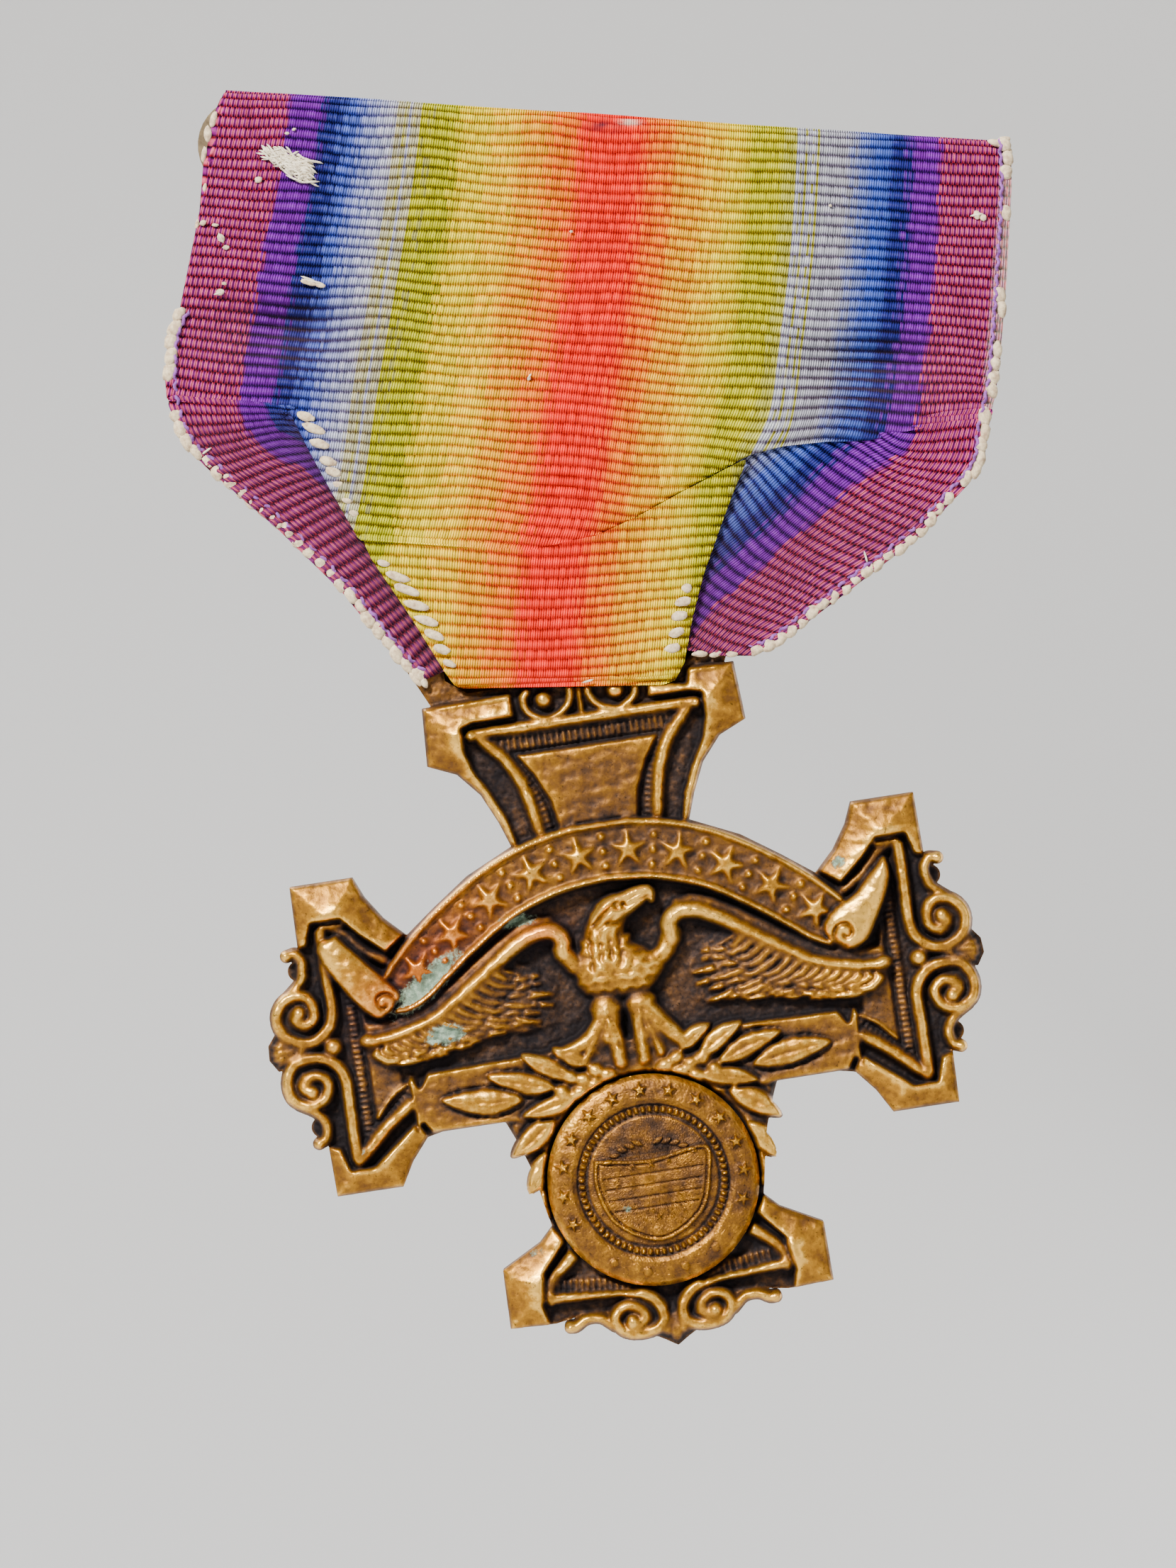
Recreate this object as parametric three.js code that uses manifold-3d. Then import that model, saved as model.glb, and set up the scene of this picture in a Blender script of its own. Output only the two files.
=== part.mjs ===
// Service medal: a struck bronze cross hanging by a slotted tab from one folded ribbon,
// which wraps a bronze brooch plate with a hinged pin and a catch on its back.
// Millimetres. X runs along the brooch plate, -Y is the face, +Z is up.
// The origin lies on the garment line: level with the plate, between the ribbon and the pin.
import * as THREE from "three";
import Module from "manifold-3d";

const wasm = await Module();
wasm.setup();
const { Manifold, Mesh: SolidMesh } = wasm;

// ---- driving dimensions -------------------------------------------------
const FACE_Y = -1.75; // mid-plane of the brooch plate and of the cross tab, from the garment line
const RIBBON_W = 35; // nominal ribbon width
const PLY_IN = 0.66; // inner half gap between the two plies
const PLY_T = 0.4; // thickness of one ply
const PLY_OUT = PLY_IN + PLY_T;
const TOP_Z = 2.6; // top fold of the ribbon above the plate's centre line

const PLATE_L = 36;
const PLATE_H = 4.2;
const PLATE_T = 1.0;
const PLATE_X = -0.4; // the plate sits slightly to the left in its fold

const HINGE_X = -13.6;
const CATCH_X = 13.2;
const PIN_Y = 2.95; // pin axis behind the plate's mid-plane
const PIN_R = 0.4;
const EYE_R = 0.95;
const RIVET_R = 0.35;
const BORE_R = 0.4;
const CHEEK_IN = 1.0; // inner half gap of the hinge bracket
const CHEEK_T = 0.5;

const CROSS_X = 3.43; // centre of the cross in the part's frame
const CROSS_Z = -36.07;
const CROSS_TURN = THREE.MathUtils.degToRad(13.2); // it lies turned on the ribbon
const PLANCHET_T = 1.2;
const GROUND_Y = -PLANCHET_T / 2; // front ground of the planchet
const BAR_Z = 15.7; // axis of the tab's top bar, in the cross's own frame
const BAR_R = 0.6;
const SLOT_HALF = 5.8;
const SLOT_LOW = 14.05;
const TAB_HALF = 7.5;
const SEAL_Z = -8.5;
const SEAL_R = 4.7;
const SEAL_GAP = 0.3;

// ---- small helpers ------------------------------------------------------
function toSolid(geometry) {
  const g = geometry.index ? geometry.toNonIndexed() : geometry;
  const p = g.attributes.position;
  const seen = new Map();
  const verts = [];
  const tris = [];
  for (let i = 0; i < p.count; i += 1) {
    const v = [p.getX(i), p.getY(i), p.getZ(i)];
    const key = v.map((c) => Math.round(c * 1e5)).join(",");
    if (!seen.has(key)) {
      seen.set(key, verts.length / 3);
      verts.push(...v);
    }
    tris.push(seen.get(key));
  }
  const kept = [];
  for (let i = 0; i < tris.length; i += 3) {
    const [a, b, c] = tris.slice(i, i + 3);
    if (a !== b && b !== c && c !== a) {
      kept.push(a, b, c);
    }
  }
  return Manifold.ofMesh(new SolidMesh({
    numProp: 3,
    vertProperties: new Float32Array(verts),
    triVerts: new Uint32Array(kept),
  }));
}

function toGeometry(solid) {
  const m = solid.getMesh();
  const g = new THREE.BufferGeometry();
  const pos = new Float32Array(m.numVert * 3);
  for (let i = 0; i < m.numVert; i += 1) {
    for (let k = 0; k < 3; k += 1) {
      pos[3 * i + k] = m.vertProperties[m.numProp * i + k];
    }
  }
  g.setAttribute("position", new THREE.BufferAttribute(pos, 3));
  g.setIndex(Array.from(m.triVerts));
  return g;
}

function join(solids) {
  return solids.reduce((a, b) => a.add(b));
}

// A flat shape in X and Z, raised from y0 (rear) to y1 (front, smaller y).
function raise(points, y0, y1, holes = []) {
  const shape = new THREE.Shape(points.map(([x, z]) => new THREE.Vector2(x, z)));
  for (const h of holes) {
    shape.holes.push(new THREE.Path(h.map(([x, z]) => new THREE.Vector2(x, z))));
  }
  const g = new THREE.ExtrudeGeometry(shape, { depth: y0 - y1, bevelEnabled: false });
  g.rotateX(Math.PI / 2);
  g.translate(0, y0, 0);
  return toSolid(g);
}

// A profile in Y and Z, run along X from x0 to x1.
function along(points, x0, x1) {
  const shape = new THREE.Shape(points.map(([y, z]) => new THREE.Vector2(y, z)));
  const g = new THREE.ExtrudeGeometry(shape, { depth: x1 - x0, bevelEnabled: false });
  const turn = new THREE.Matrix4().set(0, 0, 1, x0, 1, 0, 0, 0, 0, 1, 0, 0, 0, 0, 0, 1);
  g.applyMatrix4(turn);
  return toSolid(g);
}

function block(x0, x1, y0, y1, z0, z1) {
  const g = new THREE.BoxGeometry(x1 - x0, y1 - y0, z1 - z0);
  g.translate((x0 + x1) / 2, (y0 + y1) / 2, (z0 + z1) / 2);
  return toSolid(g);
}

function rod(r, z0, z1, x, y, segments = 32) {
  const g = new THREE.CylinderGeometry(r, r, z1 - z0, segments);
  g.rotateX(Math.PI / 2);
  g.translate(x, y, (z0 + z1) / 2);
  return toSolid(g);
}

function mirror(points) {
  return points.map(([x, z]) => [-x, z]).reverse();
}

function arc(cx, cz, r, a0, a1, steps) {
  const out = [];
  for (let i = 0; i <= steps; i += 1) {
    const a = THREE.MathUtils.degToRad(a0 + ((a1 - a0) * i) / steps);
    out.push([cx + r * Math.cos(a), cz + r * Math.sin(a)]);
  }
  return out;
}

// A band of constant width following a line of points.
function band(line, width) {
  const left = [];
  const right = [];
  line.forEach(([x, z], i) => {
    const a = line[Math.max(i - 1, 0)];
    const b = line[Math.min(i + 1, line.length - 1)];
    const len = Math.hypot(b[0] - a[0], b[1] - a[1]);
    const nx = (-(b[1] - a[1]) / len) * (width / 2);
    const nz = ((b[0] - a[0]) / len) * (width / 2);
    left.push([x + nx, z + nz]);
    right.push([x - nx, z - nz]);
  });
  return right.concat(left.reverse());
}

// Upright walls with a pyramid on top, its peak at (px, pz).
function pyramid(corners, px, pz, wall, peak) {
  const low = corners.map(([x, z]) => new THREE.Vector3(x, GROUND_Y + 0.05, z));
  const mid = corners.map(([x, z]) => new THREE.Vector3(x, GROUND_Y - wall, z));
  const top = new THREE.Vector3(px, GROUND_Y - peak, pz);
  const v = [];
  const n = corners.length;
  for (let i = 0; i < n; i += 1) {
    const j = (i + 1) % n;
    v.push(low[i], mid[i], low[j], low[j], mid[i], mid[j], mid[i], top, mid[j]);
  }
  for (let i = 1; i < n - 1; i += 1) {
    v.push(low[0], low[i], low[i + 1]);
  }
  const g = new THREE.BufferGeometry().setFromPoints(v);
  const solid = toSolid(g);
  return solid.volume() < 0 ? toSolid(flip(g)) : solid;
}

function flip(g) {
  const p = g.attributes.position;
  const out = [];
  for (let i = 0; i < p.count; i += 3) {
    for (const k of [i, i + 2, i + 1]) {
      out.push(new THREE.Vector3().fromBufferAttribute(p, k));
    }
  }
  return new THREE.BufferGeometry().setFromPoints(out);
}

const group = new THREE.Group();

function piece(name, solid, colour, metal, rough) {
  const g = toGeometry(solid);
  g.computeVertexNormals();
  const flat = g.toNonIndexed();
  flat.computeVertexNormals();
  const material = new THREE.MeshStandardMaterial({ color: colour, metalness: metal, roughness: rough });
  const mesh = new THREE.Mesh(flat, material);
  mesh.name = name;
  group.add(mesh);
}

const BRONZE = "#7d5527";
const BRASS = "#8a7a4e";

function place(solid) {
  return solid
    .rotate([0, -THREE.MathUtils.radToDeg(CROSS_TURN), 0])
    .translate([CROSS_X, FACE_Y, CROSS_Z]);
}

// ---- struck cross -------------------------------------------------------
// Right half of the planchet's outline from the top arm down to the bottom tip.
const HALF_OUTLINE = [
  [4.6, 13.7], [7.0, 13.7], [7.1, 10.9], [5.7, 10.4], [4.9, 9.5], [4.2, 8.4], [3.9, 7.0],
  [6.2, 6.1], [8.0, 4.95], [9.25, 4.0], [10.1, 4.75], [10.8, 5.8], [11.2, 6.75], [14.0, 6.75],
  [14.0, 4.1], [14.5, 3.9], [14.8, 2.6], [15.5, 1.6], [15.8, 0.5], [15.95, -0.3],
  [15.7, -1.3], [15.5, -2.2], [14.9, -3.6], [14.5, -4.5], [14.0, -4.8],
  [14.0, -7.15], [11.0, -7.15], [10.4, -6.1], [9.6, -5.1], [6.1, -5.0],
  [5.9, -6.4], [5.2, -7.4], [4.95, -8.8], [4.7, -9.9], [5.4, -10.5], [7.15, -11.3],
  [7.3, -14.2], [5.2, -14.25], [4.4, -14.6], [2.4, -15.2], [1.0, -15.1],
];

function outline() {
  return HALF_OUTLINE.concat([[0, -15.9]], mirror(HALF_OUTLINE));
}

function planchet() {
  const plate = raise(outline(), PLANCHET_T / 2, GROUND_Y);
  const tab = [
    [6.4, 13.4], [7.05, 14.6], [TAB_HALF, BAR_Z], [-TAB_HALF, BAR_Z], [-7.05, 14.6], [-6.4, 13.4],
  ];
  const slot = [
    [-4.9, SLOT_LOW], [4.9, SLOT_LOW], [SLOT_HALF, SLOT_LOW + 0.7], [SLOT_HALF, BAR_Z + 1],
    [-SLOT_HALF, BAR_Z + 1], [-SLOT_HALF, SLOT_LOW + 0.7],
  ];
  const bar = new THREE.CylinderGeometry(BAR_R, BAR_R, 2 * TAB_HALF, 32);
  bar.rotateZ(Math.PI / 2);
  bar.translate(0, 0, BAR_Z);
  return plate
    .add(raise(tab, PLANCHET_T / 2, GROUND_Y))
    .subtract(raise(slot, 2, -2))
    .add(toSolid(bar));
}

function endBlocks() {
  const quarter = [
    [[4.95, 10.75], [7.1, 10.9], [7.0, 13.7], [4.9, 13.0], 5.9, 12.0],
    [[11.2, 6.75], [11.75, 5.0], [13.3, 4.85], [14.0, 6.75], 12.3, 5.9],
    [[11.0, -7.15], [14.0, -7.15], [13.3, -5.6], [11.1, -5.9], 12.4, -6.3],
    [[4.95, -10.6], [7.15, -11.3], [7.3, -14.2], [5.0, -14.0], 6.1, -12.6],
  ];
  const solids = [];
  for (const [a, b, c, d, px, pz] of quarter) {
    for (const s of [1, -1]) {
      const ring = [a, b, c, d].map(([x, z]) => [s * x, z]);
      solids.push(pyramid(ring, s * px, pz, 0.75, 1.35));
    }
  }
  return solids;
}

function frames() {
  const high = GROUND_Y - 0.55;
  const low = GROUND_Y + 0.05;
  const lines = [
    [[-4.9, 12.0], [4.9, 12.0]],
    [[-4.9, -13.2], [4.9, -13.2]],
  ];
  const side = [[4.7, 12.0], [3.7, 10.8], [3.1, 9.4], [2.75, 7.3]];
  const foot = [[4.9, -13.2], [4.0, -12.3]];
  const edge = [[12.9, 5.0], [13.0, -5.7]];
  const toe = [[13.0, -5.7], [10.2, -3.4]];
  for (const l of [side, foot, edge, toe]) {
    lines.push(l, l.map(([x, z]) => [-x, z]));
  }
  return lines.map((l) => raise(band(l, 0.55), low, high));
}

function banner() {
  const outer = arc(0, -5.57, 13.17, 41, 139, 20);
  const inner = arc(0, -9.68, 14.53, 131, 49, 20);
  const solids = [raise(outer.concat(inner), GROUND_Y + 0.05, GROUND_Y - 0.8)];
  const roll = [[9.4, 0.7], [10.3, 0.45], [11.0, 1.6], [13.1, 3.9], [12.4, 4.6], [10.2, 2.6], [9.3, 1.9]];
  for (const r of [roll, mirror(roll)]) {
    solids.push(raise(r, GROUND_Y + 0.05, GROUND_Y - 1.15));
  }
  return solids;
}

function eagle() {
  const wing = [
    [1.6, 2.6], [2.6, 3.2], [4.2, 3.3], [6.2, 2.3], [8.4, 0.7], [11.6, -0.1], [11.2, -1.0],
    [9.4, -1.6], [7.0, -1.3], [3.2, -1.0], [2.2, 0.4],
  ];
  const head = [[-0.9, 3.2], [-0.6, 4.0], [0.3, 4.4], [1.7, 4.3], [1.8, 3.9], [0.7, 3.2], [0.8, 2.4], [-1.0, 2.4]];
  const leg = [[0.4, -0.6], [1.5, -0.7], [2.3, -2.4], [1.5, -3.1], [0.5, -3.2]];
  const low = GROUND_Y + 0.05;
  return [
    raise(wing, low, GROUND_Y - 0.6),
    raise(mirror(wing), low, GROUND_Y - 0.6),
    raise(arc(0, 1.3, 2.1, 0, 345, 23), low, GROUND_Y - 1.1),
    raise(head, low, GROUND_Y - 1.2),
    raise(leg, low, GROUND_Y - 0.9),
    raise(mirror(leg), low, GROUND_Y - 0.9),
  ];
}

function leaf(x, z, length, width, degrees) {
  const a = THREE.MathUtils.degToRad(degrees);
  const out = [];
  for (let i = 0; i < 12; i += 1) {
    const t = (i / 12) * 2 * Math.PI;
    const u = (length / 2) * Math.cos(t);
    const v = (width / 2) * Math.sin(t) * (1 - 0.3 * Math.cos(t));
    out.push([x + u * Math.cos(a) - v * Math.sin(a), z + u * Math.sin(a) + v * Math.cos(a)]);
  }
  return out;
}

function panelAndLaurel() {
  const low = GROUND_Y + 0.05;
  const panel = [[9.6, -2.1], [9.6, -4.95], [-9.6, -4.95], [-9.6, -2.1]];
  const solids = [raise(panel, low, GROUND_Y - 0.45)];
  const leaves = [
    [7.1, -3.6, 3.4, 1.0, -8], [5.6, -2.6, 2.8, 0.9, 40], [4.6, -3.6, 2.4, 0.9, 0],
    [5.2, -5.6, 1.9, 1.0, -40],
  ];
  for (const [x, z, l, w, d] of leaves) {
    const points = leaf(x, z, l, w, d);
    solids.push(raise(points, low, GROUND_Y - 0.8), raise(mirror(points), low, GROUND_Y - 0.8));
  }
  return solids;
}

// A pair of scrolls curling away from the middle of an arm's end.
function spiral(cx, cz, hand) {
  const line = [];
  for (let i = 0; i <= 14; i += 1) {
    const t = i / 14;
    const r = 0.35 + 0.85 * t;
    const a = hand * (t * 430 - 60);
    line.push([cx + r * Math.cos(THREE.MathUtils.degToRad(a)), cz + r * Math.sin(THREE.MathUtils.degToRad(a))]);
  }
  return line;
}

function volutes() {
  const low = GROUND_Y + 0.05;
  const high = GROUND_Y - 0.6;
  const discs = [[14.4, 1.2], [14.4, -2.2], [1.75, -14.2]];
  const solids = [];
  for (const [x, z] of discs) {
    for (const s of [1, -1]) {
      solids.push(raise(arc(s * x, z, 0.95, 0, 345, 23), low, high));
      solids.push(raise(arc(s * x, z, 0.35, 0, 330, 11), low, high - 0.3));
    }
  }
  for (const s of [1, -1]) {
    solids.push(raise(arc(s * 1.95, 12.95, 0.75, 0, 345, 23), low, high));
    solids.push(raise(arc(s * 13.3, -0.5, 0.5, 0, 330, 11), low, high - 0.2));
  }
  return solids;
}

function struckCross() {
  const relief = join([
    ...frames(), ...banner(), ...eagle(), ...panelAndLaurel(), ...volutes(), ...endBlocks(),
  ]);
  const well = raise(arc(0, SEAL_Z, SEAL_R + SEAL_GAP, 0, 352.5, 47), GROUND_Y, -4);
  return planchet().add(relief.subtract(well));
}

piece("struck_cross", place(struckCross()), BRONZE, 0.9, 0.45);

// ---- seal disc: a turned disc with a raised rim and a raised middle -------
function sealDisc() {
  const back = 0;
  const profile = [
    [0, back], [SEAL_R, back], [SEAL_R, 0.75], [4.45, 1.05], [4.2, 0.95], [3.75, 0.95],
    [3.6, 1.15], [3.3, 1.15], [3.15, 0.9], [2.9, 0.9], [2.7, 1.1], [0, 1.1],
  ];
  const g = new THREE.LatheGeometry(profile.map(([r, h]) => new THREE.Vector2(r, h)), 64);
  g.rotateX(Math.PI);
  g.translate(0, GROUND_Y, SEAL_Z);
  return toSolid(g);
}

// ---- ribbon: one strip, up the face, over the plate, down the back -------
const FRONT_OUTLINE = [
  [-17.3, 1.5], [-17.6, 0.4], [-18.0, -2.9], [-18.5, -7.0], [-18.8, -9.0], [-18.7, -11.6],
  [-17.9, -13.5], [-15.9, -15.2], [-13.5, -17.0], [-10.5, -19.5], [-7.9, -22.2], [-6.5, -23.0],
  [-5.4, -22.6], [4.9, -20.9], [5.3, -20.9], [7.9, -20.8], [10.0, -19.4], [12.3, -17.4], [14.8, -15.2],
  [16.4, -13.2], [17.5, -11.2], [17.7, -8.8], [17.6, -2.0], [17.4, 1.5],
];
const PANEL_OUTLINE = [
  [-13.2, -11.6], [-12.4, -13.1], [-10.2, -16.4], [-9.2, -17.9], [-7.2, -20.4], [-5.55, -22.6],
  [-5.35, -23.25], [4.45, -21.75], [4.9, -21.3], [5.1, -19.4], [5.5, -17.4], [6.1, -15.1], [7.0, -12.0],
];
const BACK_OUTLINE = [
  [-17.4, 1.5], [-17.6, -7.0], [-12.0, -13.0], [-6.0, -17.0], [-5.4, -21.9],
  [5.1, -19.6], [6.0, -16.0], [12.0, -12.0], [17.5, -6.0], [17.4, 1.5],
];

function topFold() {
  const outer = [
    [-PLY_OUT, -2.5], [-PLY_OUT, TOP_Z - 0.6], [-0.85, TOP_Z - 0.2], [-0.5, TOP_Z],
    [0.5, TOP_Z], [0.85, TOP_Z - 0.2], [PLY_OUT, TOP_Z - 0.6], [PLY_OUT, -2.5],
    [PLY_IN, -2.5], [PLY_IN, TOP_Z - PLY_T], [-PLY_IN, TOP_Z - PLY_T], [-PLY_IN, -2.5],
  ];
  return along(outer, -17.35, 17.4);
}

function bottomFold() {
  const rim = [];
  for (let i = 0; i <= 16; i += 1) {
    const a = Math.PI + (Math.PI * i) / 16;
    rim.push([PLY_OUT * Math.cos(a), PLY_OUT * Math.sin(a)]);
  }
  const bore = [];
  for (let i = 16; i >= 0; i -= 1) {
    const a = Math.PI + (Math.PI * i) / 16;
    bore.push([PLY_IN * Math.cos(a), PLY_IN * Math.sin(a)]);
  }
  const profile = [[-PLY_OUT, 1.6], ...rim, [PLY_OUT, 1.6], [PLY_IN, 1.6], ...bore, [-PLY_IN, 1.6]];
  const loop = along(profile, -5.2, 5.2);
  return loop
    .translate([0, 0, BAR_Z])
    .rotate([0, -THREE.MathUtils.radToDeg(CROSS_TURN), 0])
    .translate([CROSS_X, 0, CROSS_Z]);
}

function ribbon() {
  const front = raise(FRONT_OUTLINE, -PLY_IN, -PLY_OUT);
  const panel = raise(PANEL_OUTLINE, -PLY_IN, -PLY_OUT - PLY_T);
  const back = raise(BACK_OUTLINE, PLY_OUT, PLY_IN);
  const hingeSlit = block(HINGE_X - 2.0, HINGE_X + 2.0, 0.3, 1.6, -1.95, 1.95);
  const catchSlit = block(CATCH_X - 1.2, CATCH_X + 1.2, 0.3, 1.6, -1.65, 1.65);
  return join([front, panel, back, topFold(), bottomFold()])
    .subtract(hingeSlit)
    .subtract(catchSlit);
}

// ---- brooch -------------------------------------------------------------
function brooch() {
  const r = PLATE_H / 2;
  const half = PLATE_L / 2 - r;
  const ends = arc(half, 0, r, -90, 90, 16).concat(arc(-half, 0, r, 90, 270, 16));
  return raise(ends, PLATE_T / 2, -PLATE_T / 2).translate([PLATE_X, 0, 0]);
}

function hingeBracket() {
  const back = PLATE_T / 2;
  const foot = block(HINGE_X - 1.6, HINGE_X + 1.6, back, back + 0.5, -CHEEK_IN - CHEEK_T, CHEEK_IN + CHEEK_T);
  const solids = [foot];
  for (const s of [1, -1]) {
    const lug = [[HINGE_X - 1.1, back], [HINGE_X + 1.1, back], ...arc(HINGE_X, PIN_Y, 1.0, -20, 200, 14)];
    const shape = new THREE.Shape(lug.map(([x, y]) => new THREE.Vector2(x, y)));
    const g = new THREE.ExtrudeGeometry(shape, { depth: CHEEK_T, bevelEnabled: false });
    g.translate(0, 0, s > 0 ? CHEEK_IN : -CHEEK_IN - CHEEK_T);
    solids.push(toSolid(g));
  }
  const bore = rod(BORE_R, -3, 3, HINGE_X, PIN_Y);
  return join(solids).subtract(bore);
}

function rivet() {
  const half = CHEEK_IN + CHEEK_T + 0.03;
  const profile = [
    [0, -half - 0.35], [0.4, -half - 0.3], [0.65, -half], [RIVET_R, -half],
    [RIVET_R, half], [0.65, half], [0.4, half + 0.3], [0, half + 0.35],
  ];
  const g = new THREE.LatheGeometry(profile.map(([a, b]) => new THREE.Vector2(a, b)), 32);
  g.rotateX(Math.PI / 2);
  g.translate(HINGE_X, PIN_Y, 0);
  return toSolid(g);
}

function broochPin() {
  const length = CATCH_X - HINGE_X + 2.3;
  const profile = [
    [0, 0], [PIN_R, 0], [PIN_R, length - 4.5], [0.3, length - 2.4], [0.16, length - 0.9], [0, length],
  ];
  const g = new THREE.LatheGeometry(profile.map(([a, b]) => new THREE.Vector2(a, b)), 24);
  g.rotateZ(-Math.PI / 2);
  g.translate(HINGE_X + 0.6, PIN_Y, 0);
  const eye = rod(EYE_R, -CHEEK_IN + 0.15, CHEEK_IN - 0.15, HINGE_X, PIN_Y, 32);
  return toSolid(g).add(eye).subtract(rod(BORE_R, -2, 2, HINGE_X, PIN_Y));
}

function pinCatch() {
  const back = PLATE_T / 2;
  const profile = [
    [back, -1.3], [back + 0.4, -1.3], [back + 0.4, -0.5], [2.05, -0.5], [2.05, -0.95],
    [3.5, -0.95], [3.7, -0.85], [3.7, -0.65], [3.5, -0.55], [2.45, -0.55],
    [2.45, 0.55], [3.5, 0.55], [3.7, 0.65], [3.7, 0.85], [3.5, 0.95],
    [2.05, 0.95], [2.05, 0.5], [back + 0.4, 0.5], [back + 0.4, 1.3], [back, 1.3],
  ];
  return along(profile, CATCH_X - 0.9, CATCH_X + 0.9);
}

// A row of overcast stitches that closes the ribbon's end on its back, drawn as one thread.
function tackThread() {
  const r = 0.16;
  const points = [];
  for (let i = 0; i <= 22; i += 1) {
    const x = -5.5 + i * 0.5;
    points.push(new THREE.Vector3(x, PLY_OUT + r + 0.02, -7.0 + (i % 2 ? 0.45 : -0.45)));
  }
  const circle = new THREE.Shape();
  circle.absarc(0, 0, r, 0, 2 * Math.PI);
  const path = new THREE.CatmullRomCurve3(points);
  const g = new THREE.ExtrudeGeometry(circle, { extrudePath: path, steps: 88, curveSegments: 3, bevelEnabled: false });
  return toSolid(g);
}

function atFace(solid) {
  return solid.translate([0, FACE_Y, 0]);
}

piece("seal_disc", place(sealDisc()), BRONZE, 0.9, 0.4);
piece("ribbon", atFace(ribbon()), "#d9a52a", 0, 0.9);
piece("brooch_plate", atFace(brooch()), BRASS, 0.8, 0.5);
piece("pin_hinge", atFace(hingeBracket()), BRASS, 0.8, 0.5);
piece("hinge_rivet", atFace(rivet()), BRASS, 0.8, 0.45);
piece("brooch_pin", atFace(broochPin()), BRASS, 0.85, 0.4);
piece("pin_catch", atFace(pinCatch()), BRASS, 0.8, 0.5);
piece("tack_thread", atFace(tackThread()), "#e4dcc4", 0, 0.9);

export default group;
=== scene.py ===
"""Service medal: a struck bronze cross on a pleated rainbow-striped ribbon, hung from a pin-back brooch.

Everything is built in millimetres in the part's frame (X along the brooch, -Y the face, +Z up)
and turned to metres as each mesh is made.
"""
import math

import bmesh
import bpy
import numpy as np
from mathutils import Matrix, Vector


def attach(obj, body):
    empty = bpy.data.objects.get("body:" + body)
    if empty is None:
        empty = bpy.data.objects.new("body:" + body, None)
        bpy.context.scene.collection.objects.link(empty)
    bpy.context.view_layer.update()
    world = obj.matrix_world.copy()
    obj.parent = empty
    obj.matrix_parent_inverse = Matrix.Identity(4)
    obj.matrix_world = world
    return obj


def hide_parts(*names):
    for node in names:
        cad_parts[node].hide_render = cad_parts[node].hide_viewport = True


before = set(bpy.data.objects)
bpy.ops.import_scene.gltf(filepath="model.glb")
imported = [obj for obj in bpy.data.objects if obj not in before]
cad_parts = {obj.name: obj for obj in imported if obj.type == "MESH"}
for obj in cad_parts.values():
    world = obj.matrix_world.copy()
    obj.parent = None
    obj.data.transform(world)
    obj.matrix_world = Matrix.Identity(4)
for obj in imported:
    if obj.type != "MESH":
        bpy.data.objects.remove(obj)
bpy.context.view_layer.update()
MM = 0.001
RNG = np.random.default_rng(7)

# ------------------------------------------------------------------ sizes, as in the CAD
FACE_Y = -1.75  # mid-plane of the brooch plate and of the cross
CROSS_X, CROSS_Z = 3.43, -36.07
TURN = math.radians(13.2)
GROUND, BACK = -0.6, 0.6  # front ground and back of the planchet, from its mid-plane
BAR_Z, BAR_R = 15.7, 0.6
SLOT_HALF, SLOT_LOW = 5.8, 14.05
SEAL_Z, SEAL_R = -8.5, 4.7
RIBBON_W = 35.0
RIB = 0.455  # pitch of the ribs
TOP = 2.6  # top fold above the plate's centre line; the ribbon's own heights count down from it
FOLD_X, FOLD_Z = (-5.1, 4.6), (-25.85, -24.8)  # ends of the ribbon's bottom fold, in its own heights
CROSS_PLACE = Matrix.Translation(Vector((CROSS_X, FACE_Y, CROSS_Z)) * MM) @ Matrix.Rotation(-TURN, 4, "Y")
SIDES = (np.array([1, 1]), np.array([-1, 1]))  # points times one of these are as given, or mirrored


# ------------------------------------------------------------------ mesh helpers
def make_mesh(name, verts, faces, material, attrs=None):
    """verts: (n, 3) in mm; faces: list of index arrays, (m, 4) or (m, 3)."""
    me = bpy.data.meshes.new(name)
    faces = [np.asarray(f, np.int32) for f in faces]
    loops = np.concatenate([f.ravel() for f in faces])
    sizes = np.concatenate([np.full(len(f), f.shape[1], np.int32) for f in faces])
    starts = np.concatenate([[0], np.cumsum(sizes)[:-1]]).astype(np.int32)
    me.vertices.add(len(verts))
    me.vertices.foreach_set("co", (np.asarray(verts, float) * MM).ravel())
    me.loops.add(len(loops))
    me.loops.foreach_set("vertex_index", loops)
    me.polygons.add(len(sizes))
    me.polygons.foreach_set("loop_start", starts)
    me.polygons.foreach_set("loop_total", sizes)
    me.update(calc_edges=True)
    me.validate()
    for key, values in (attrs or {}).items():
        a = me.attributes.new(key, "FLOAT", "POINT")
        a.data.foreach_set("value", np.asarray(values, np.float32).ravel())
    me.polygons.foreach_set("use_smooth", np.ones(len(me.polygons), bool))
    ob = bpy.data.objects.new(name, me)
    bpy.context.scene.collection.objects.link(ob)
    me.materials.append(material)
    return ob


def clean_mesh(ob, weld=0.0, fill=False):
    """Welds points closer than weld (metres), closes open ends and turns the faces outwards."""
    bm = bmesh.new()
    bm.from_mesh(ob.data)
    if weld:
        bmesh.ops.remove_doubles(bm, verts=bm.verts, dist=weld)
        bmesh.ops.dissolve_degenerate(bm, edges=bm.edges, dist=weld / 10)
    if fill:
        bmesh.ops.holes_fill(bm, edges=[e for e in bm.edges if e.is_boundary], sides=0)
    bmesh.ops.recalc_face_normals(bm, faces=bm.faces)
    bm.to_mesh(ob.data)
    bm.free()


def sharp_by_angle(ob, degrees):
    ob.data.set_sharp_from_angle(angle=math.radians(degrees))


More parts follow.
